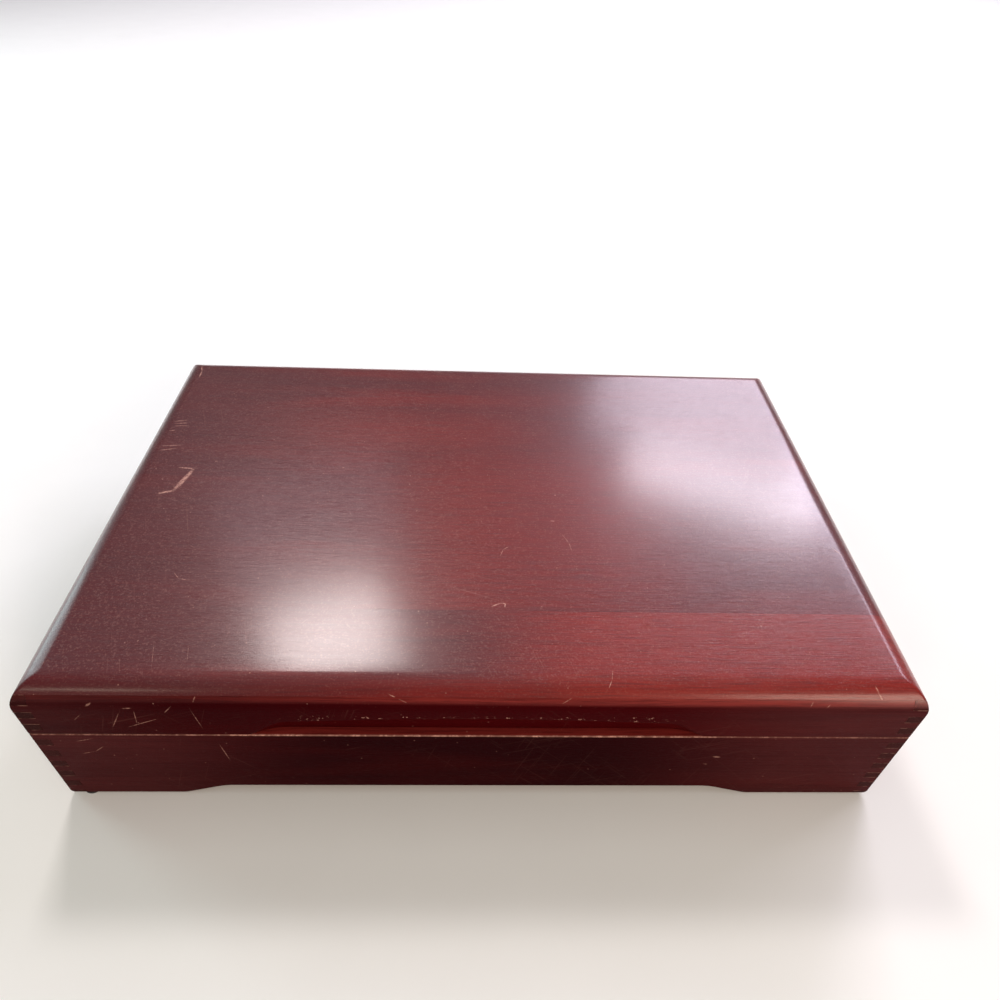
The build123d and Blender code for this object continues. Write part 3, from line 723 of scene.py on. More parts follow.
def divider(name, node, sizes, material):
    """The divider: a thin board under cloth, its section a rectangle with a round top, carried from
    the front lining to the back one."""
    low, high = np.array(corners(node))
    half, tall = (high[0] - low[0]) / 2, high[2] - low[2]
    turn = np.linspace(0, pi, DIVIDER_STEPS + 1)
    x = np.concatenate([[half], half * np.cos(turn), [-half]]) + (low[0] + high[0]) / 2
    z = np.concatenate([[0.0], tall - half + half * np.sin(turn), [0.0]]) + low[2]
    y = spread(low[1], high[1], step=DIVIDER_STEP)
    points = np.stack([np.tile(x, len(y)), np.repeat(y, len(x)), np.tile(z, len(y))], -1)
    return add_mesh(name, points, bar_faces(len(y), len(x)), material)


class CHEST_OT_linings(bpy.types.Operator):
    """Builds the cloth-covered panels in base and lid"""

    bl_idname = "chest.linings"
    bl_label = "Linings"

    def execute(self, context):
        sizes = millimetres(context.scene.fitting_sizes)
        cloth = pile_cloth()
        panels = [("base_floor_pad", 2, 1), ("lid_top_lining", 2, -1)]
        for body in ("base", "lid"):
            for side, axis, faces in (("front", 1, 1), ("back", 1, -1), ("left", 0, 1), ("right", 0, -1)):
                panels.append((f"{body}_{side}_lining", axis, faces))
        for node, axis, faces in panels:
            piece = cloth_panel(f"cloth_{node}", node, axis, faces, sizes, cloth)
            place(piece, node.split("_")[0], "lining_cloth", node)
        return {"FINISHED"}


class CHEST_OT_racks(bpy.types.Operator):
    """Builds the cloth-covered racks and the divider"""

    bl_idname = "chest.racks"
    bl_label = "Racks and divider"

    def execute(self, context):
        sizes = millimetres(context.scene.fitting_sizes)
        cloth = pile_cloth()
        low, high = corners("flatware_rack_front")
        span, slots = high[0] - low[0], sizes.spoon_slots
        spoons = slot_profile(span, high[2] - low[2], slots, span / (2 * slots), sizes.spoon_width,
                              sizes.spoon_depth, sizes.spoon_lip, sizes.slot_slant)
        bars = [(f"flatware_rack_{row}", "base", 1, spoons) for row in ("front", "back")]
        low, high = corners("knife_handle_rack")
        span = high[0] - low[0]
        for kind, width in (("handle", sizes.knife_handle_width), ("blade", sizes.knife_blade_width)):
            knives = slot_profile(span, high[2] - low[2], sizes.knife_slots, (span - sizes.knife_row) / 2,
                                  width, sizes.knife_depth, sizes.knife_lip, sizes.slot_slant)
            bars.append((f"knife_{kind}_rack", "lid", -1, knives))
        for node, body, up, profile in bars:
            place(notched_bar(f"cloth_{node}", node, profile, up, sizes, cloth), body, "lining_cloth", node)
        node = "compartment_divider"
        place(divider(f"cloth_{node}", node, sizes, cloth), "base", "lining_cloth", node)
        return {"FINISHED"}


# Foot pads, screws and fittings
def turned(profile, centre):
    """Points and quads of a profile of (radius, height) turned round an upright axis."""
    profile = np.array(profile)
    turn = np.linspace(0, 2 * pi, TURN_STEPS, endpoint=False)
    points = np.stack([
        centre[0] + profile[:, 0, None] * np.cos(turn),
        centre[1] + profile[:, 0, None] * np.sin(turn),
        centre[2] + profile[:, 1, None] + 0 * turn,
    ], -1).reshape(-1, 3)
    at = np.arange(len(points)).reshape(len(profile), TURN_STEPS)
    after = np.roll(at, -1, axis=1)
    quads = np.stack([at[:-1], after[:-1], after[1:], at[1:]], -1).reshape(-1, 4)
    return points, quads


class CHEST_OT_foot_pads(bpy.types.Operator):
    """Builds the four round rubber pads under the base"""

    bl_idname = "chest.foot_pads"
    bl_label = "Foot pads"

    def execute(self, context):
        edge = millimetres(context.scene.fitting_sizes).pad_edge
        rubber = matt_rubber()
        turn = np.linspace(0, pi / 2, PAD_STEPS + 1)
        for node in (f"foot_pad_{row}_{side}" for row in ("front", "back") for side in ("left", "right")):
            low, high = np.array(corners(node))
            radius, tall = (high[0] - low[0]) / 2, high[2] - low[2]
            rounding = zip(radius - edge + edge * np.sin(turn), edge - edge * np.cos(turn))
            profile = [(0.0, 0.0), *rounding, (radius, tall), (0.0, tall)]
            points, quads = turned(profile, (*(low + high)[:2] / 2, low[2]))
            place(add_mesh(f"rubber_{node}", points, [quads], rubber), "base", "rubber_pad", node)
        return {"FINISHED"}


def slotted_screws(name, node, up, sizes, material):
    """The screws of a node, each a turned profile of head and shank. The head's face drops by the
    slot's depth where it is nearer than half the slot's width to a line across it. Its outer ring stays."""
    low, high = np.array(corners(node))
    head, tall = (high[1] - low[1]) / 2, high[2] - low[2]
    shank = sizes.screw_shank
    profile = [(ring, 0.0) for ring in np.linspace(0.0, head, SCREW_RINGS + 1)]
    profile += [(shank, -sizes.screw_head), (shank, -tall + shank), (0.0, -tall)]
    places = [x + side * sizes.screw_spacing / 2 for x in (-HINGE_X, HINGE_X) for side in (-1, 1)]
    all_points, all_quads = [], []
    for k, x in enumerate(places):
        points, quads = turned(profile, (0.0, 0.0, 0.0))
        turn = SLOT_TURN + SLOT_TURN_STEP * k
        across = points[:, 0] * sin(turn) - points[:, 1] * cos(turn)
        face = (points[:, 2] == 0.0) & (np.hypot(points[:, 0], points[:, 1]) < head * 0.99)
        inside = (sizes.screw_slot_width / 2 - np.abs(across)) / sizes.screw_slot_side
        points[:, 2] -= np.where(face, sizes.screw_slot_depth * np.clip(inside, 0.0, 1.0), 0.0)
        points[:, 2] *= up
        points += (x, (low[1] + high[1]) / 2, high[2] if up > 0 else low[2])
        all_quads.append(quads + k * len(points))
        all_points.append(points)
    return add_mesh(name, np.concatenate(all_points), all_quads, material)


class CHEST_OT_hinges(bpy.types.Operator):
    """Gives the hinges their brass and builds their slotted screws"""

    bl_idname = "chest.hinges"
    bl_label = "Hinges and screws"

    def execute(self, context):
        sizes = millimetres(context.scene.fitting_sizes)
        brass = dull_brass()
        for node, part in frame["nodes"].items():
            if node.startswith("hinge") and not node.endswith("screws"):
                part.data.materials.clear()
                part.data.materials.append(brass)
        for body, up in (("base", 1), ("lid", -1)):
            node = f"hinge_{body}_screws"
            place(slotted_screws(f"screws_{body}", node, up, sizes, brass), body, "brass", node)
        return {"FINISHED"}


class CHEST_OT_bottom_panel(bpy.types.Operator):
    """Gives the bottom panel its bare wood"""

    bl_idname = "chest.bottom_panel"
    bl_label = "Bottom panel"

    def execute(self, context):
        part = frame["nodes"]["base_bottom_panel"]
        part.data.materials.clear()
        part.data.materials.append(bare_panel())
        return {"FINISHED"}


# Shader sums
class Amount:
    """One output socket of a material. Sums on amounts add their Math nodes."""

    def __init__(self, recipe, socket):
        self.recipe = recipe
        self.socket = socket

    def math(self, operation, *values):
        """A Math node on this amount and others, in that order."""
        return self.recipe.math(operation, self, *values)

    def __add__(self, other):
        return self.math("ADD", other)

    __radd__ = __add__

    def __sub__(self, other):
        return self.math("SUBTRACT", other)

    def __rsub__(self, other):
        return self.recipe.math("SUBTRACT", other, self)

    def __mul__(self, other):
        return self.math("MULTIPLY", other)

    __rmul__ = __mul__

    def __truediv__(self, other):
        return self.math("DIVIDE", other)

    def __abs__(self):
        return self.math("ABSOLUTE")

    def up_to(self, other):
        """The smaller of the two."""
        return self.math("MINIMUM", other)

    def at_least(self, other):
        """The larger of the two."""
        return self.math("MAXIMUM", other)

    def between(self, low, high):
        """0 at low, 1 at high, and a smooth step between."""
        return self.recipe.node("ShaderNodeMapRange", {"interpolation_type": "SMOOTHSTEP"},
                                {"Value": self, "From Min": low, "From Max": high})[0]

    def patch(self, low, rise, fall, high):
        """1 from rise to fall and 0 outside low and high, with a smooth step on each side."""
        return self.between(low, rise) * (1 - self.between(fall, high))


class Recipe:
    """A new material, whose nodes are added by node()."""

    def __init__(self, name):
        self.material = bpy.data.materials.new(name)
        self.material.use_nodes = True
        self.tree = self.material.node_tree
        self.tree.nodes.clear()
        self.place = self.vector("SCALE", self.node("ShaderNodeTexCoord", {}, {})[3], Scale=1 / MM)

    def node(self, kind, settings, sockets):
        """Adds a node, sets its settings, then sets or links its sockets. Returns its outputs."""
        node = self.tree.nodes.new(kind)
        for key, value in settings.items():
            setattr(node, key, value)
        for key, value in sockets.items():
            if isinstance(value, Amount):
                self.tree.links.new(value.socket, node.inputs[key])
            else:
                node.inputs[key].default_value = value
        return [Amount(self, out) for out in node.outputs]

    def math(self, operation, *values):
        """A Math node on values, of which at least one is an amount."""
        return self.node("ShaderNodeMath", {"operation": operation}, dict(enumerate(values)))[0]

    def vector(self, operation, *values, **more):
        """A Vector Math node."""
        sockets = {**dict(enumerate(values)), **more}
        outputs = self.node("ShaderNodeVectorMath", {"operation": operation}, sockets)
        return outputs[1] if operation == "LENGTH" else outputs[0]

    def axes(self, vector):
        """The three parts of a vector."""
        return self.node("ShaderNodeSeparateXYZ", {}, {0: vector})

    def noise(self, stretch, detail=3.0, roughness=0.5, distortion=0.0, place=None):
        """Noise over the piece's own coordinates in millimetres, or over another place, stretched by
        one number or by one for each axis."""
        stretch = (stretch,) * 3 if isinstance(stretch, float) else stretch
        stretched = self.vector("MULTIPLY", place or self.place, stretch)
        return self.node("ShaderNodeTexNoise", {"noise_dimensions": "3D"}, {
            "Vector": stretched, "Scale": 1.0,
            "Detail": detail, "Roughness": roughness, "Distortion": distortion,
        })[0]

    def mix(self, share, first, second):
        """One colour passing into another."""
        first, second = ((*c, 1.0) if isinstance(c, tuple) else c for c in (first, second))
        return self.node("ShaderNodeMix", {"data_type": "RGBA"}, {0: share, 6: first, 7: second})[2]

    def finish(self, sockets, height=None, strength=0.0, distance=0.0):
        """The Principled shader, with bump where a height is given."""
        if height is not None:
            bump = {"Height": height, "Strength": strength, "Distance": distance}
            sockets["Normal"] = self.node("ShaderNodeBump", {}, bump)[0]
        shader = self.node("ShaderNodeBsdfPrincipled", {}, sockets)[0]
        self.node("ShaderNodeOutputMaterial", {}, {0: shader})
        return self.material


def colours():
    """The chest's colours as tuples."""
    group = bpy.context.scene.chest_colours
    return SimpleNamespace(**{key: tuple(getattr(group, key)) for key in type(group).__annotations__})


def shaded(tint, share):
    """A colour made darker or lighter."""
    return tuple(min(1.0, part * share) for part in tint)


# Stained wood
# Worn lines on the lid's top, in millimetres: a width, then a chain of points. A point (x, y) lies on
# the flat of the top, and a point (x, y, z) on its round-over.
TOP_SCRATCHES = (
    (0.6, (-190.6, 59.8), (-182.6, 61.8)),
    (0.8, (-189.6, 57.6), (-182.0, 58.6)),
    (0.8, (-189.0, 55.2), (-181.6, 56.0)),
    (0.6, (-191.0, 50.2), (-187.0, 51.0)),
    (0.6, (-191.6, 35.0), (-178.0, 36.6)),
    (1.1, (-189.6, 31.0), (-181.0, 33.2)),
    (1.4, (-174.4, 15.6), (-165.4, 14.6)),
    (3.6, (-165.4, 14.6), (-171.0, -4.6)),
    (2.2, (-171.0, -4.6), (-178.6, -7.2)),
    (0.9, (-155.0, 21.7), (-154.2, 21.9)),
    (0.8, (-81.0, 18.0), (-80.4, 18.2)),
    (0.8, (41.6, -2.9), (42.2, -2.9)),
    (0.7, (37.8, -24.1), (40.0, -24.4)),
    (0.9, (5.0, -84.8), (9.2, -82.6), (11.6, -83.0), (11.4, -85.2)),
    (0.5, (9.8, -51.0), (11.4, -46.4), (14.1, -44.4)),
    (0.16, (-148.0, -106.6), (-144.0, -122.6)),
    (0.16, (-132.0, -108.6), (-130.0, -118.1)),
    (0.4, (-152.0, -65.4), (-148.6, -69.3), (-144.0, -70.4)),
    (0.45, (43.0, -34.2), (46.4, -40.8), (47.5, -47.4)),
    (0.5, (188.0, -41.2), (192.4, -48.0), (192.6, -58.2)),
    (0.55, (56.6, -128.9, 86.9), (58.2, -125.6, 88.3), (59.0, -121.0)),
    (1.0, (177.4, -127.6, 87.5), (178.6, -130.4, 85.8), (180.4, -132.5, 83.6)),
    (0.6, (-40.6, -131.4, 84.9), (-36.0, -132.8, 83.2)),
    (1.0, (-192.0, 124.5, 88.6), (-190.0, 118.0), (-189.6, 110.0)),
)

# The same on the front wall, where a point (x, z) lies on the flat of the front
WALL_SCRATCHES = (
    (0.6, (-36.0, -132.8, 83.2), (-32.4, -133.7, 81.6)),
    (0.6, (35.8, -133.7, 81.5), (40.5, -132.1, 84.1)),
    (0.8, (147.8, -134.0, 80.8), (148.6, -132.9, 83.0)),
    (0.7, (155.2, -134.2, 80.4), (156.6, -133.6, 81.9)),
    (0.8, (-179.2, 68.0), (-168.0, -134.2, 80.4)),
    (1.3, (-170.4, -134.5, 79.2), (-168.4, -134.2, 80.6)),
    (0.8, (-155.7, -134.9, 77.7), (-151.3, -134.8, 78.0)),
    (0.6, (-157.8, 74.5), (-163.8, 62.9)),
    (0.6, (-151.0, 75.8), (-152.4, 65.9)),
    (0.6, (-157.7, 62.7), (-141.8, 70.1)),
    (0.7, (-138.2, 74.7), (-134.4, -134.6, 79.2)),
    (0.6, (-126.6, -134.8, 78.4), (-124.5, 61.9)),
    (0.8, (-124.6, -133.8, 81.4), (-123.6, -132.4, 83.6)),
    (0.6, (-120.1, 48.4), (-118.2, 34.0)),
    (0.5, (-185.2, 39.5), (-178.3, 41.6), (-173.2, 46.1)),
    (0.5, (-184.3, 50.4), (-175.8, 53.0)),
    (1.6, (113.6, 38.4), (116.6, 38.0)),
    (0.9, (110.2, 31.6), (111.8, 31.2)),
)


def scratch(recipe, start, stop, width):
    """How far a place is from the middle of a scratch, in the space where the scratch, a thin
    ellipsoid from start to stop, is a ball of radius 1."""
    start, run = Vector(start), Vector(stop) - Vector(start)
    turn = (0.0, -atan2(run.z, run.xy.length), atan2(run.y, run.x))
    local = recipe.node("ShaderNodeMapping", {"vector_type": "TEXTURE"}, {
        "Vector": recipe.place, "Location": start + run / 2, "Rotation": turn,
        "Scale": (run.length * 0.55 + width / 2, width / 2, width / 2),
    })[0]
    return recipe.vector("LENGTH", local)


def worn_lines(recipe, lines, flat):
    """1 on the scratches of a list, falling to 0 at their edges. flat gives a point of the flat face
    its third coordinate."""
    nearest = None
    for width, *chain in lines:
        chain = [point if len(point) == 3 else flat(*point) for point in chain]
        for start, stop in zip(chain[:-1], chain[1:]):
            line = scratch(recipe, start, stop, width)
            nearest = line if nearest is None else nearest.up_to(line)
    return 1 - nearest.between(0.45, 1.0)


def stretched(along, scale_along, scale_across):
    """Scales for noise drawn out along an axis."""
    return tuple(scale_along if axis == along else scale_across for axis in "XYZ")


def wood_patterns(recipe, along, across_face):
    """The patterns of stained wood with its grain along an axis: broad figure, streaks, fibres and
    pores drawn out along the grain, and specks, blotches, rubbed patches and small nicks. The hairlines
    are fine lines in three directions round the axis across_face, where the lacquer is rubbed."""
    rub = recipe.noise(0.02, detail=4.0)
    hair = None
    for angle_round in HAIRLINE_TURNS:
        turned_place = recipe.node("ShaderNodeVectorRotate", {"rotation_type": across_face}, {
            "Vector": recipe.place, "Angle": angle_round
        })[0]
        line = recipe.noise(stretched(along, 0.022, 1.7), detail=0.0, place=turned_place).between(0.775, 0.80)
        hair = line if hair is None else hair.at_least(line)
    dots = recipe.node("ShaderNodeTexVoronoi", {"feature": "F1"}, {"Vector": recipe.place, "Scale": 0.20})
    chosen = recipe.axes(dots[1])[0].between(0.62, 0.64)
    return SimpleNamespace(
        figure=recipe.noise(stretched(along, 0.004, 0.030), distortion=0.6).between(0.36, 0.68),
        streaks=recipe.noise(stretched(along, 0.009, 0.45), detail=4.0, roughness=0.6),
        fibres=recipe.noise(stretched(along, 0.05, 1.6), roughness=0.65),
        pores=recipe.noise(stretched(along, 0.20, 5.0), detail=1.0),
        red=recipe.noise(stretched(along, 0.006, 0.05), detail=2.0).between(0.46, 0.74),
        speck=recipe.noise(1.1, detail=2.0),
        blotch=recipe.noise(0.30),
        rub=rub,
        nicks=(1 - dots[0].between(0.03, 0.09)) * chosen * 0.8,
        hair=hair * rub.between(0.42, 0.62),
    )


def grained(recipe, wood, stain, dark):
    """The stain with dark streaks and fibres in it."""
    stain = recipe.mix(wood.streaks.between(0.42, 0.74) * 0.42, stain, dark)
    return recipe.mix(wood.fibres.between(0.42, 0.72) * 0.52, stain, dark)


def lacquered(recipe, wood, stain, worn, sockets):
    """Stained wood with pale wood where it is worn, under satin lacquer with rubbed patches."""
    stain = recipe.mix(worn * 0.85, stain, colours().worn)
    gloss = 0.27 + wood.rub * 0.08 + wood.streaks * 0.06 + wood.fibres * 0.07 + worn * 0.2 + wood.hair * 0.04
    pores = wood.pores.between(0.58, 0.75)
    height = wood.fibres * 0.8 + wood.streaks * 0.3 - pores * 0.6 + wood.blotch * 0.25
    sockets = {"Base Color": stain, "Roughness": gloss, **sockets}
    return recipe.finish(sockets, height, strength=0.45, distance=0.00025)


def stained_top():
    """The wood of the lid's top: purple-brown, redder in the front board's right half, in a band at
    the left and in the middle, darker at the left end, with a dark part of the glue line. On the front
    round-over, painted light makes it redder and lighter towards the right, and painted shade darkens
    its left end."""
    recipe, tint = Recipe("top_boards"), colours()
    wood = wood_patterns(recipe, "X", "Z_AXIS")
    x, y, _ = recipe.axes(recipe.place)
    behind = y.between(GLUE_LINE - 0.1, GLUE_LINE + 0.1)
    edge = 1 - y.between(6.0 - HALF_DEPTH, 14.0 - HALF_DEPTH)
    stain = recipe.mix(wood.figure * 0.38, tint.stain, tint.stain_dark)

    front_red = x.between(-25.0, 60.0) * (1 - behind)
    band = y.patch(15.0, 50.0, 55.0, 95.0) * x.patch(-190.0, -60.0, -10.0, 90.0)
    middle = x.patch(-90.0, 0.0, 60.0, 140.0) * (1 - y.between(0.0, 80.0)) * behind
    red = (wood.red * 0.34).at_least(front_red * 0.9).at_least(band * 0.42).at_least(middle * 0.5)
    # Painted light: the front round-over is painted redder and lighter, more so towards the right.
    red = red.at_least(edge * (0.22 + x.between(-150.0, 20.0) * 0.38))
    stain = recipe.mix(red * (0.45 + wood.streaks * 1.1), stain, tint.stain_red)
    # The top's left end is darker; along the front round-over the darkening towards the left is painted
    # shade.
    left = ((1 - x.between(-195.0, -60.0)) * 0.55).at_least(edge * (1 - x.between(-150.0, 0.0)) * 0.75)
    stain = recipe.mix(left, stain, tint.stain_dark)
    stain = grained(recipe, wood, stain, tint.stain_dark)
    stain = recipe.mix(wood.speck.between(0.50, 0.74) * (0.11 - edge * 0.07), stain, tint.worn)
    seam = 1 - abs(y - GLUE_LINE).between(0.05, 0.35)
    stain = recipe.mix(seam * x.between(-40.0, 40.0) * 0.6, stain, tint.stain_dark)

    worn = wood.nicks.at_least(worn_lines(recipe, TOP_SCRATCHES, lambda x, y: (x, y, CROWN)))
    worn = worn * (0.22 + wood.speck.between(0.35, 0.60) * 0.52)
    worn = worn.at_least(wood.hair * 0.10)
    coat = 0.38 + wood.streaks * 0.20 + wood.fibres * 0.12 + wood.speck * 0.12
    coat = coat * (1 - edge * (0.75 - x.between(60.0, 180.0) * 0.35))
    sockets = {"Specular IOR Level": 0.28, "Coat Weight": coat, "Coat Roughness": 0.177}
    return lacquered(recipe, wood, stain, worn, sockets)


def stained_wall(name, along):
    """The wood of the walls: brown at the ends, wine-red towards the middle, dark on the ends of the
    fingers, and worn along the split, the foot and the pull. Painted light makes the upper edge lighter
    where it turns over, more so towards the right, and lightens a band along the split; painted shade
    darkens the base's middle and the lid's left."""
    known = bpy.data.materials.get(name)
    if known:
        return known
    recipe, tint = Recipe(name), colours()
    finger = bpy.context.scene.chest_sizes.finger / MM
    wood = wood_patterns(recipe, along, "Y_AXIS" if along == "X" else "X_AXIS")
    x, y, z = recipe.axes(recipe.place)
    above, behind = z - RIM, y + HALF_DEPTH
    stain = recipe.mix(wood.figure * 0.5, tint.wall_stain, tint.wall_dark)

    lid = above.between(-1.0, 0.0)
    inward = 1 - abs(x + 5.0 + lid * 20.0).between(lid * 45.0 + 50.0, lid * 25.0 + 165.0)
    # Painted shade: the base's middle and the lid's left are painted darker, in the stain and in its dark
    # streaks.
    shade = (inward * (1 - lid)).at_least((1 - x.between(-170.0, 40.0)) * lid * 0.6) * 0.80
    stain = recipe.mix(inward * 0.95, stain, tint.wall_deep)
    stain = recipe.mix(shade, stain, tint.painted_wall_shade)
    dark = recipe.mix(inward * 0.9, tint.wall_dark, tint.wall_deep)
    dark = recipe.mix(shade, dark, tint.painted_wall_shade)
    cove = behind.patch(0.3, 1.6, 4.5, 5.0) * above.patch(0.2, 0.6, 13.0, 17.0)
    stain = recipe.mix(cove * (1 - abs(x).between(100.0, 106.0)) * 0.05, stain, tint.stain_red)
    # Painted light: a band along the split, with the base's rim inside the pull, takes the lighter edge
    # colour.
    painted_ledge_light = above.patch(-0.30, -0.02, 0.02, 0.30)
    stain = recipe.mix(painted_ledge_light * (0.50 + wood.streaks * 0.50), stain, tint.painted_edge_light)
    stain = recipe.mix(wood.red * 0.05 * (0.45 + wood.streaks * 1.1), stain, tint.stain_red)
    # Painted highlight: the walls' top edge is painted lighter where it turns over, more so towards the
    # right, where the band also reaches a little lower.
    turn = (z + x.between(-60.0, 120.0) * 0.7).between(CROWN - 8.5, CROWN - 5.5)
    stain = recipe.mix(turn * (0.22 + x.between(-150.0, 20.0) * 0.78), stain, tint.painted_edge_light)
    stain = grained(recipe, wood, stain, dark)
    ends = recipe.node("ShaderNodeAttribute", {"attribute_name": "end_grain"}, {})[2].between(0.3, 0.7)
    ends = ends * (1 - z.between(CROWN - 11.7, CROWN - 7.7) * 0.6)
    rings = recipe.noise((1.4, 1.4, 0.35), detail=2.0)
    stain = recipe.mix(ends * (0.35 + rings * 0.5), stain, tint.end_grain)

    # Wear along the split, the foot, the pull's arris and the joints' inner ends
    blotch, speck = wood.blotch, wood.speck
    outer = (HALF_WIDTH - abs(x)).up_to(HALF_DEPTH - abs(y))
    split = 1 - abs(above).at_least(outer).between(0.15, 0.85)
    split = split * (1 - abs(x + 10.0).between(70.0, 150.0) * 0.55)
    worn = split * (0.42 + blotch.between(0.40, 0.60) * speck.between(0.30, 0.6) * 0.9)
    foot = 1 - (z - FOOT).at_least(outer).between(0.1, 0.7)
    worn = worn.at_least(foot * blotch.between(0.55, 0.7) * 0.4)
    arris = above.patch(8.0, 10.0, 15.5, 17.0) * (1 - abs(x).between(70.0, 95.0))
    arris = arris * (1 - behind.between(2.0, 4.0))
    worn = worn.at_least(arris * blotch.between(0.50, 0.54) * speck.between(0.60, 0.66) * 0.6)
    marks = wood.nicks.at_least(worn_lines(recipe, WALL_SCRATCHES, lambda x, z: (x, -HALF_DEPTH, z)))
    worn = worn.at_least(marks * (0.10 + speck.between(0.35, 0.6) * 0.32))
    post = abs(x).between(ROOT_X - 0.6, ROOT_X) * abs(y).between(ROOT_Y - 0.6, ROOT_Y)
    below = z.math("GREATER_THAN", RIM) * (FRAME_TOP - RIM) + RIM - z
    joint = 1 - abs((below / finger + 0.5).math("FRACT") - 0.5).between(0.02, 0.07)
    worn = worn.at_least(post * joint * blotch.between(0.42, 0.66) * 0.32)
    worn = worn.at_least(wood.hair * 0.035)
    return lacquered(recipe, wood, stain, worn, {
        "Specular IOR Level": 0.008, "Specular Tint": (1.0, 0.45, 0.42, 1.0),
        "Coat Weight": turn * (0.28 + x.between(130.0, 200.0) * 0.55), "Coat Roughness": 0.30,
    })


# Other materials
def pile_cloth():
    """Short-pile brown cloth: fine nap as noise, with brushed patches a shade lighter."""
    known = bpy.data.materials.get("pile_cloth")
    if known:
        return known
    recipe, tint = Recipe("pile_cloth"), colours()
    nap = recipe.noise(3.2, roughness=0.7)
    brushed = recipe.noise((0.03, 0.03, 0.05), detail=2.0, distortion=0.8)
    cloth = recipe.mix(brushed.between(0.35, 0.7), tint.cloth, shaded(tint.cloth, 1.6))
    cloth = recipe.mix(nap.between(0.35, 0.65), shaded(tint.cloth, 0.55), cloth)
    return recipe.finish({
        "Base Color": cloth, "Roughness": 0.95, "Specular IOR Level": 0.15, "Sheen Weight": 0.35,
        "Sheen Roughness": 0.4, "Sheen Tint": (0.75, 0.55, 0.42, 1.0),
    }, nap, strength=0.5, distance=0.0003)


def dull_brass():
    """Brass with a slightly uneven, handled surface."""
    recipe, tint = Recipe("dull_brass"), colours()
    dull = recipe.noise(0.5, detail=4.0)
    lines = recipe.noise((0.4, 9.0, 9.0), detail=2.0)
    metal = recipe.mix(dull.between(0.4, 0.75) * 0.6, tint.brass, shaded(tint.brass, 0.45))
    sockets = {"Base Color": metal, "Metallic": 1.0, "Roughness": 0.26 + dull * 0.2}
    return recipe.finish(sockets, lines, strength=0.1, distance=0.0001)


def matt_rubber():
    """Matt black rubber with a fine grain."""
    recipe, tint = Recipe("matt_rubber"), colours()
    grain = recipe.noise(2.5)
    black = recipe.mix(grain.between(0.4, 0.7), tint.rubber, shaded(tint.rubber, 2.5))
    sockets = {"Base Color": black, "Roughness": 0.75 + grain * 0.15}
    return recipe.finish(sockets, grain, strength=0.3, distance=0.0001)


def bare_panel():
    """Thin bare panel wood with its grain along the chest."""
    recipe, tint = Recipe("bare_panel"), colours()
    figure = recipe.noise((0.006, 0.08, 0.08), detail=4.0, distortion=1.2)
    fibres = recipe.noise((0.05, 2.0, 2.0))
    dark = shaded(tint.panel, 0.6)
    wood = recipe.mix(figure.between(0.35, 0.65), tint.panel, dark)
    wood = recipe.mix(fibres.between(0.5, 0.7) * 0.4, wood, dark)
    sockets = {"Base Color": wood, "Roughness": 0.6 + fibres * 0.15}
    return recipe.finish(sockets, fibres, strength=0.2, distance=0.0002)


def pale_floor():
    """Pale, slightly cloudy floor."""
    recipe, tint = Recipe("pale_floor"), colours()
    cloudy = recipe.mix(recipe.noise(0.02), tint.floor, shaded(tint.floor, 1.04))
    return recipe.finish({"Base Color": cloudy, "Roughness": 0.8, "Specular IOR Level": 0.1})


# Stage
FLOOR_REACH = 12.0
SENSOR_WIDTH = 36.0
SKY_TINT = (0.95, 0.97, 1.0, 1.0)

# What most lights look at: a point on the lid, in metres
LID = (0.1, 0.0, CROWN * MM)

# The lights: name, place and aim in metres, width and height in metres, the setting that gives the
# power, the share of it, and the tint
LIGHTS = (
    ("rear_right", (1.69, 3.40, 2.09), LID, (1.85, 1.215), "rear_right", 1.0, (0.92, 0.84, 1.0)),
    ("rear_right_core", (1.20, 2.32, 2.09), LID, (0.93, 0.16), "glow", 1.0, (1.0, 0.90, 1.0)),
    ("rear_right_low", (2.22, 1.73, 2.09), LID, (1.92, 0.32), "glow", 1.8, (0.92, 0.84, 1.0)),
    ("rear_left", (-0.52, 1.385, 2.09), LID, (0.45, 0.35), "rear_left", 1.0, (1.0, 0.90, 0.88)),
    ("rear_left_halo", (-0.70, 2.03, 2.09), LID, (0.8, 0.5), "rear_left", 0.1, (0.96, 0.84, 1.0)),
    ("key", (0.0, -0.4, 3.0), (0.0, -0.4, 0.0), (3.0, 2.8), "key", 1.0, (1.0, 0.98, 0.96)),
    ("front_right", (1.35, -1.86, 0.95), LID, (1.0, 1.1), "front", 1.0, (1.0, 0.76, 0.62)),
    ("front_left", (-1.15, -1.62, 1.36), LID, (0.40, 0.30), "front", 1 / 6, (1.0, 0.84, 0.66)),
    ("side", (-1.9, 0.9, 0.75), (-0.2, 0.0, CROWN * MM), (0.6, 1.6), "side", 1.0, (0.78, 0.97, 1.0)),
)


def area_light(name, where, aim, size, watts, tint):
    """A soft rectangular light that looks at a point."""
    data = bpy.data.lights.new(name, "AREA")
    data.shape = "RECTANGLE"
    data.size, data.size_y = size
    data.energy = watts
    data.color = tint
    light = bpy.data.objects.new(name, data)
    light.location = where
    light.rotation_euler = (Vector(aim) - Vector(where)).to_track_quat("-Z", "Y").to_euler()
    bpy.context.scene.collection.objects.link(light)


def camera_turn(pitch, yaw, roll):
    """The turn of a camera that looks along +Y, then yaw to the right and pitch down, rolled about
    its own view."""
    forward = Vector((sin(yaw) * cos(pitch), cos(yaw) * cos(pitch), -sin(pitch)))
    right = Vector((cos(yaw), -sin(yaw), 0.0))
    up = right.cross(forward)
    rolled = cos(roll) * right + sin(roll) * up, cos(roll) * up - sin(roll) * right
    return Matrix((*rolled, -forward)).transposed().to_4x4()


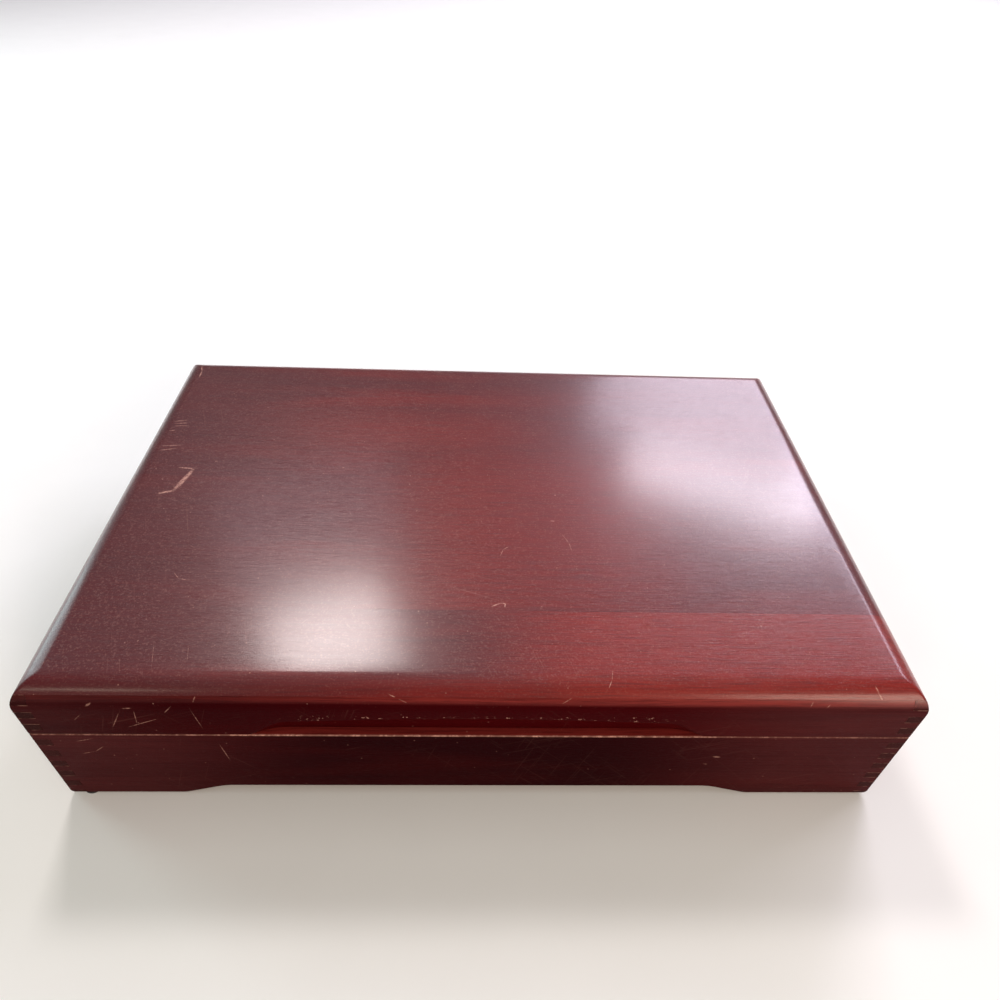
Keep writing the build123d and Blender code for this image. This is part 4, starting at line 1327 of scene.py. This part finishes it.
class CHEST_OT_stage(bpy.types.Operator):
    """Sets out the floor, the lights and the camera"""

    bl_idname = "chest.stage"
    bl_label = "Stage"

    def execute(self, context):
        scene = context.scene
        studio = scene.chest_studio
        mesh = bpy.data.meshes.new("studio_floor")
        square = [(x * FLOOR_REACH, y * FLOOR_REACH, 0) for x, y in ((-1, -1), (1, -1), (1, 1), (-1, 1))]
        mesh.from_pydata(square, [], [(0, 1, 2, 3)])
        mesh.materials.append(pale_floor())
        floor = bpy.data.objects.new("studio_floor", mesh)
        scene.collection.objects.link(floor)

        world = bpy.data.worlds.new("studio")
        world.use_nodes = True
        sky = world.node_tree.nodes["Background"]
        sky.inputs["Color"].default_value = SKY_TINT
        sky.inputs["Strength"].default_value = studio.sky
        scene.world = world
        for name, where, aim, size, setting, share, tint in LIGHTS:
            area_light(name, where, aim, size, getattr(studio, setting) * share, tint)
        scene.view_settings.view_transform = "Standard"

        data = bpy.data.cameras.new("camera")
        data.lens = studio.lens
        data.sensor_width = SENSOR_WIDTH
        camera = bpy.data.objects.new("camera", data)
        turn = camera_turn(studio.pitch, studio.yaw, studio.roll)
        camera.matrix_world = Matrix.Translation(studio.place) @ turn
        scene.collection.objects.link(camera)
        scene.camera = camera
        return {"FINISHED"}


# Panel and registration
class CHEST_PT_panel(bpy.types.Panel):
    """Lists the chest's sizes, colours and steps"""

    bl_idname = "CHEST_PT_panel"
    bl_label = "Silverware chest"
    bl_space_type = "VIEW_3D"
    bl_region_type = "UI"
    bl_category = "Chest"

    def draw(self, context):
        for key, group in GROUPS:
            box = self.layout.box()
            for setting in group.__annotations__:
                box.prop(getattr(context.scene, key), setting)
        for step in STEPS:
            self.layout.operator(step.bl_idname)


GROUPS = (
    ("chest_sizes", ChestSizes),
    ("fitting_sizes", FittingSizes),
    ("chest_colours", ChestColours),
    ("chest_studio", StudioSettings),
)
STEPS = (
    CHEST_OT_base_walls,
    CHEST_OT_lid_walls,
    CHEST_OT_top_boards,
    CHEST_OT_linings,
    CHEST_OT_racks,
    CHEST_OT_foot_pads,
    CHEST_OT_hinges,
    CHEST_OT_bottom_panel,
    CHEST_OT_stage,
)


def register():
    """Makes the groups, the steps and the panel known."""
    for key, group in GROUPS:
        bpy.utils.register_class(group)
        setattr(bpy.types.Scene, key, PointerProperty(type=group))
    for step in (*STEPS, CHEST_PT_panel):
        bpy.utils.register_class(step)


def unregister():
    """Takes them away again."""
    for step in reversed((*STEPS, CHEST_PT_panel)):
        bpy.utils.unregister_class(step)
    for key, group in reversed(GROUPS):
        delattr(bpy.types.Scene, key)
        bpy.utils.unregister_class(group)


def main():
    """Builds the chest step by step."""
    register()
    bpy.ops.chest.base_walls()
    bpy.ops.chest.lid_walls()
    bpy.ops.chest.top_boards()
    bpy.ops.chest.linings()
    bpy.ops.chest.racks()
    bpy.ops.chest.foot_pads()
    bpy.ops.chest.hinges()
    bpy.ops.chest.bottom_panel()
    bpy.ops.chest.stage()
    bpy.context.view_layer.update()


if __name__ == "__main__":
    main()
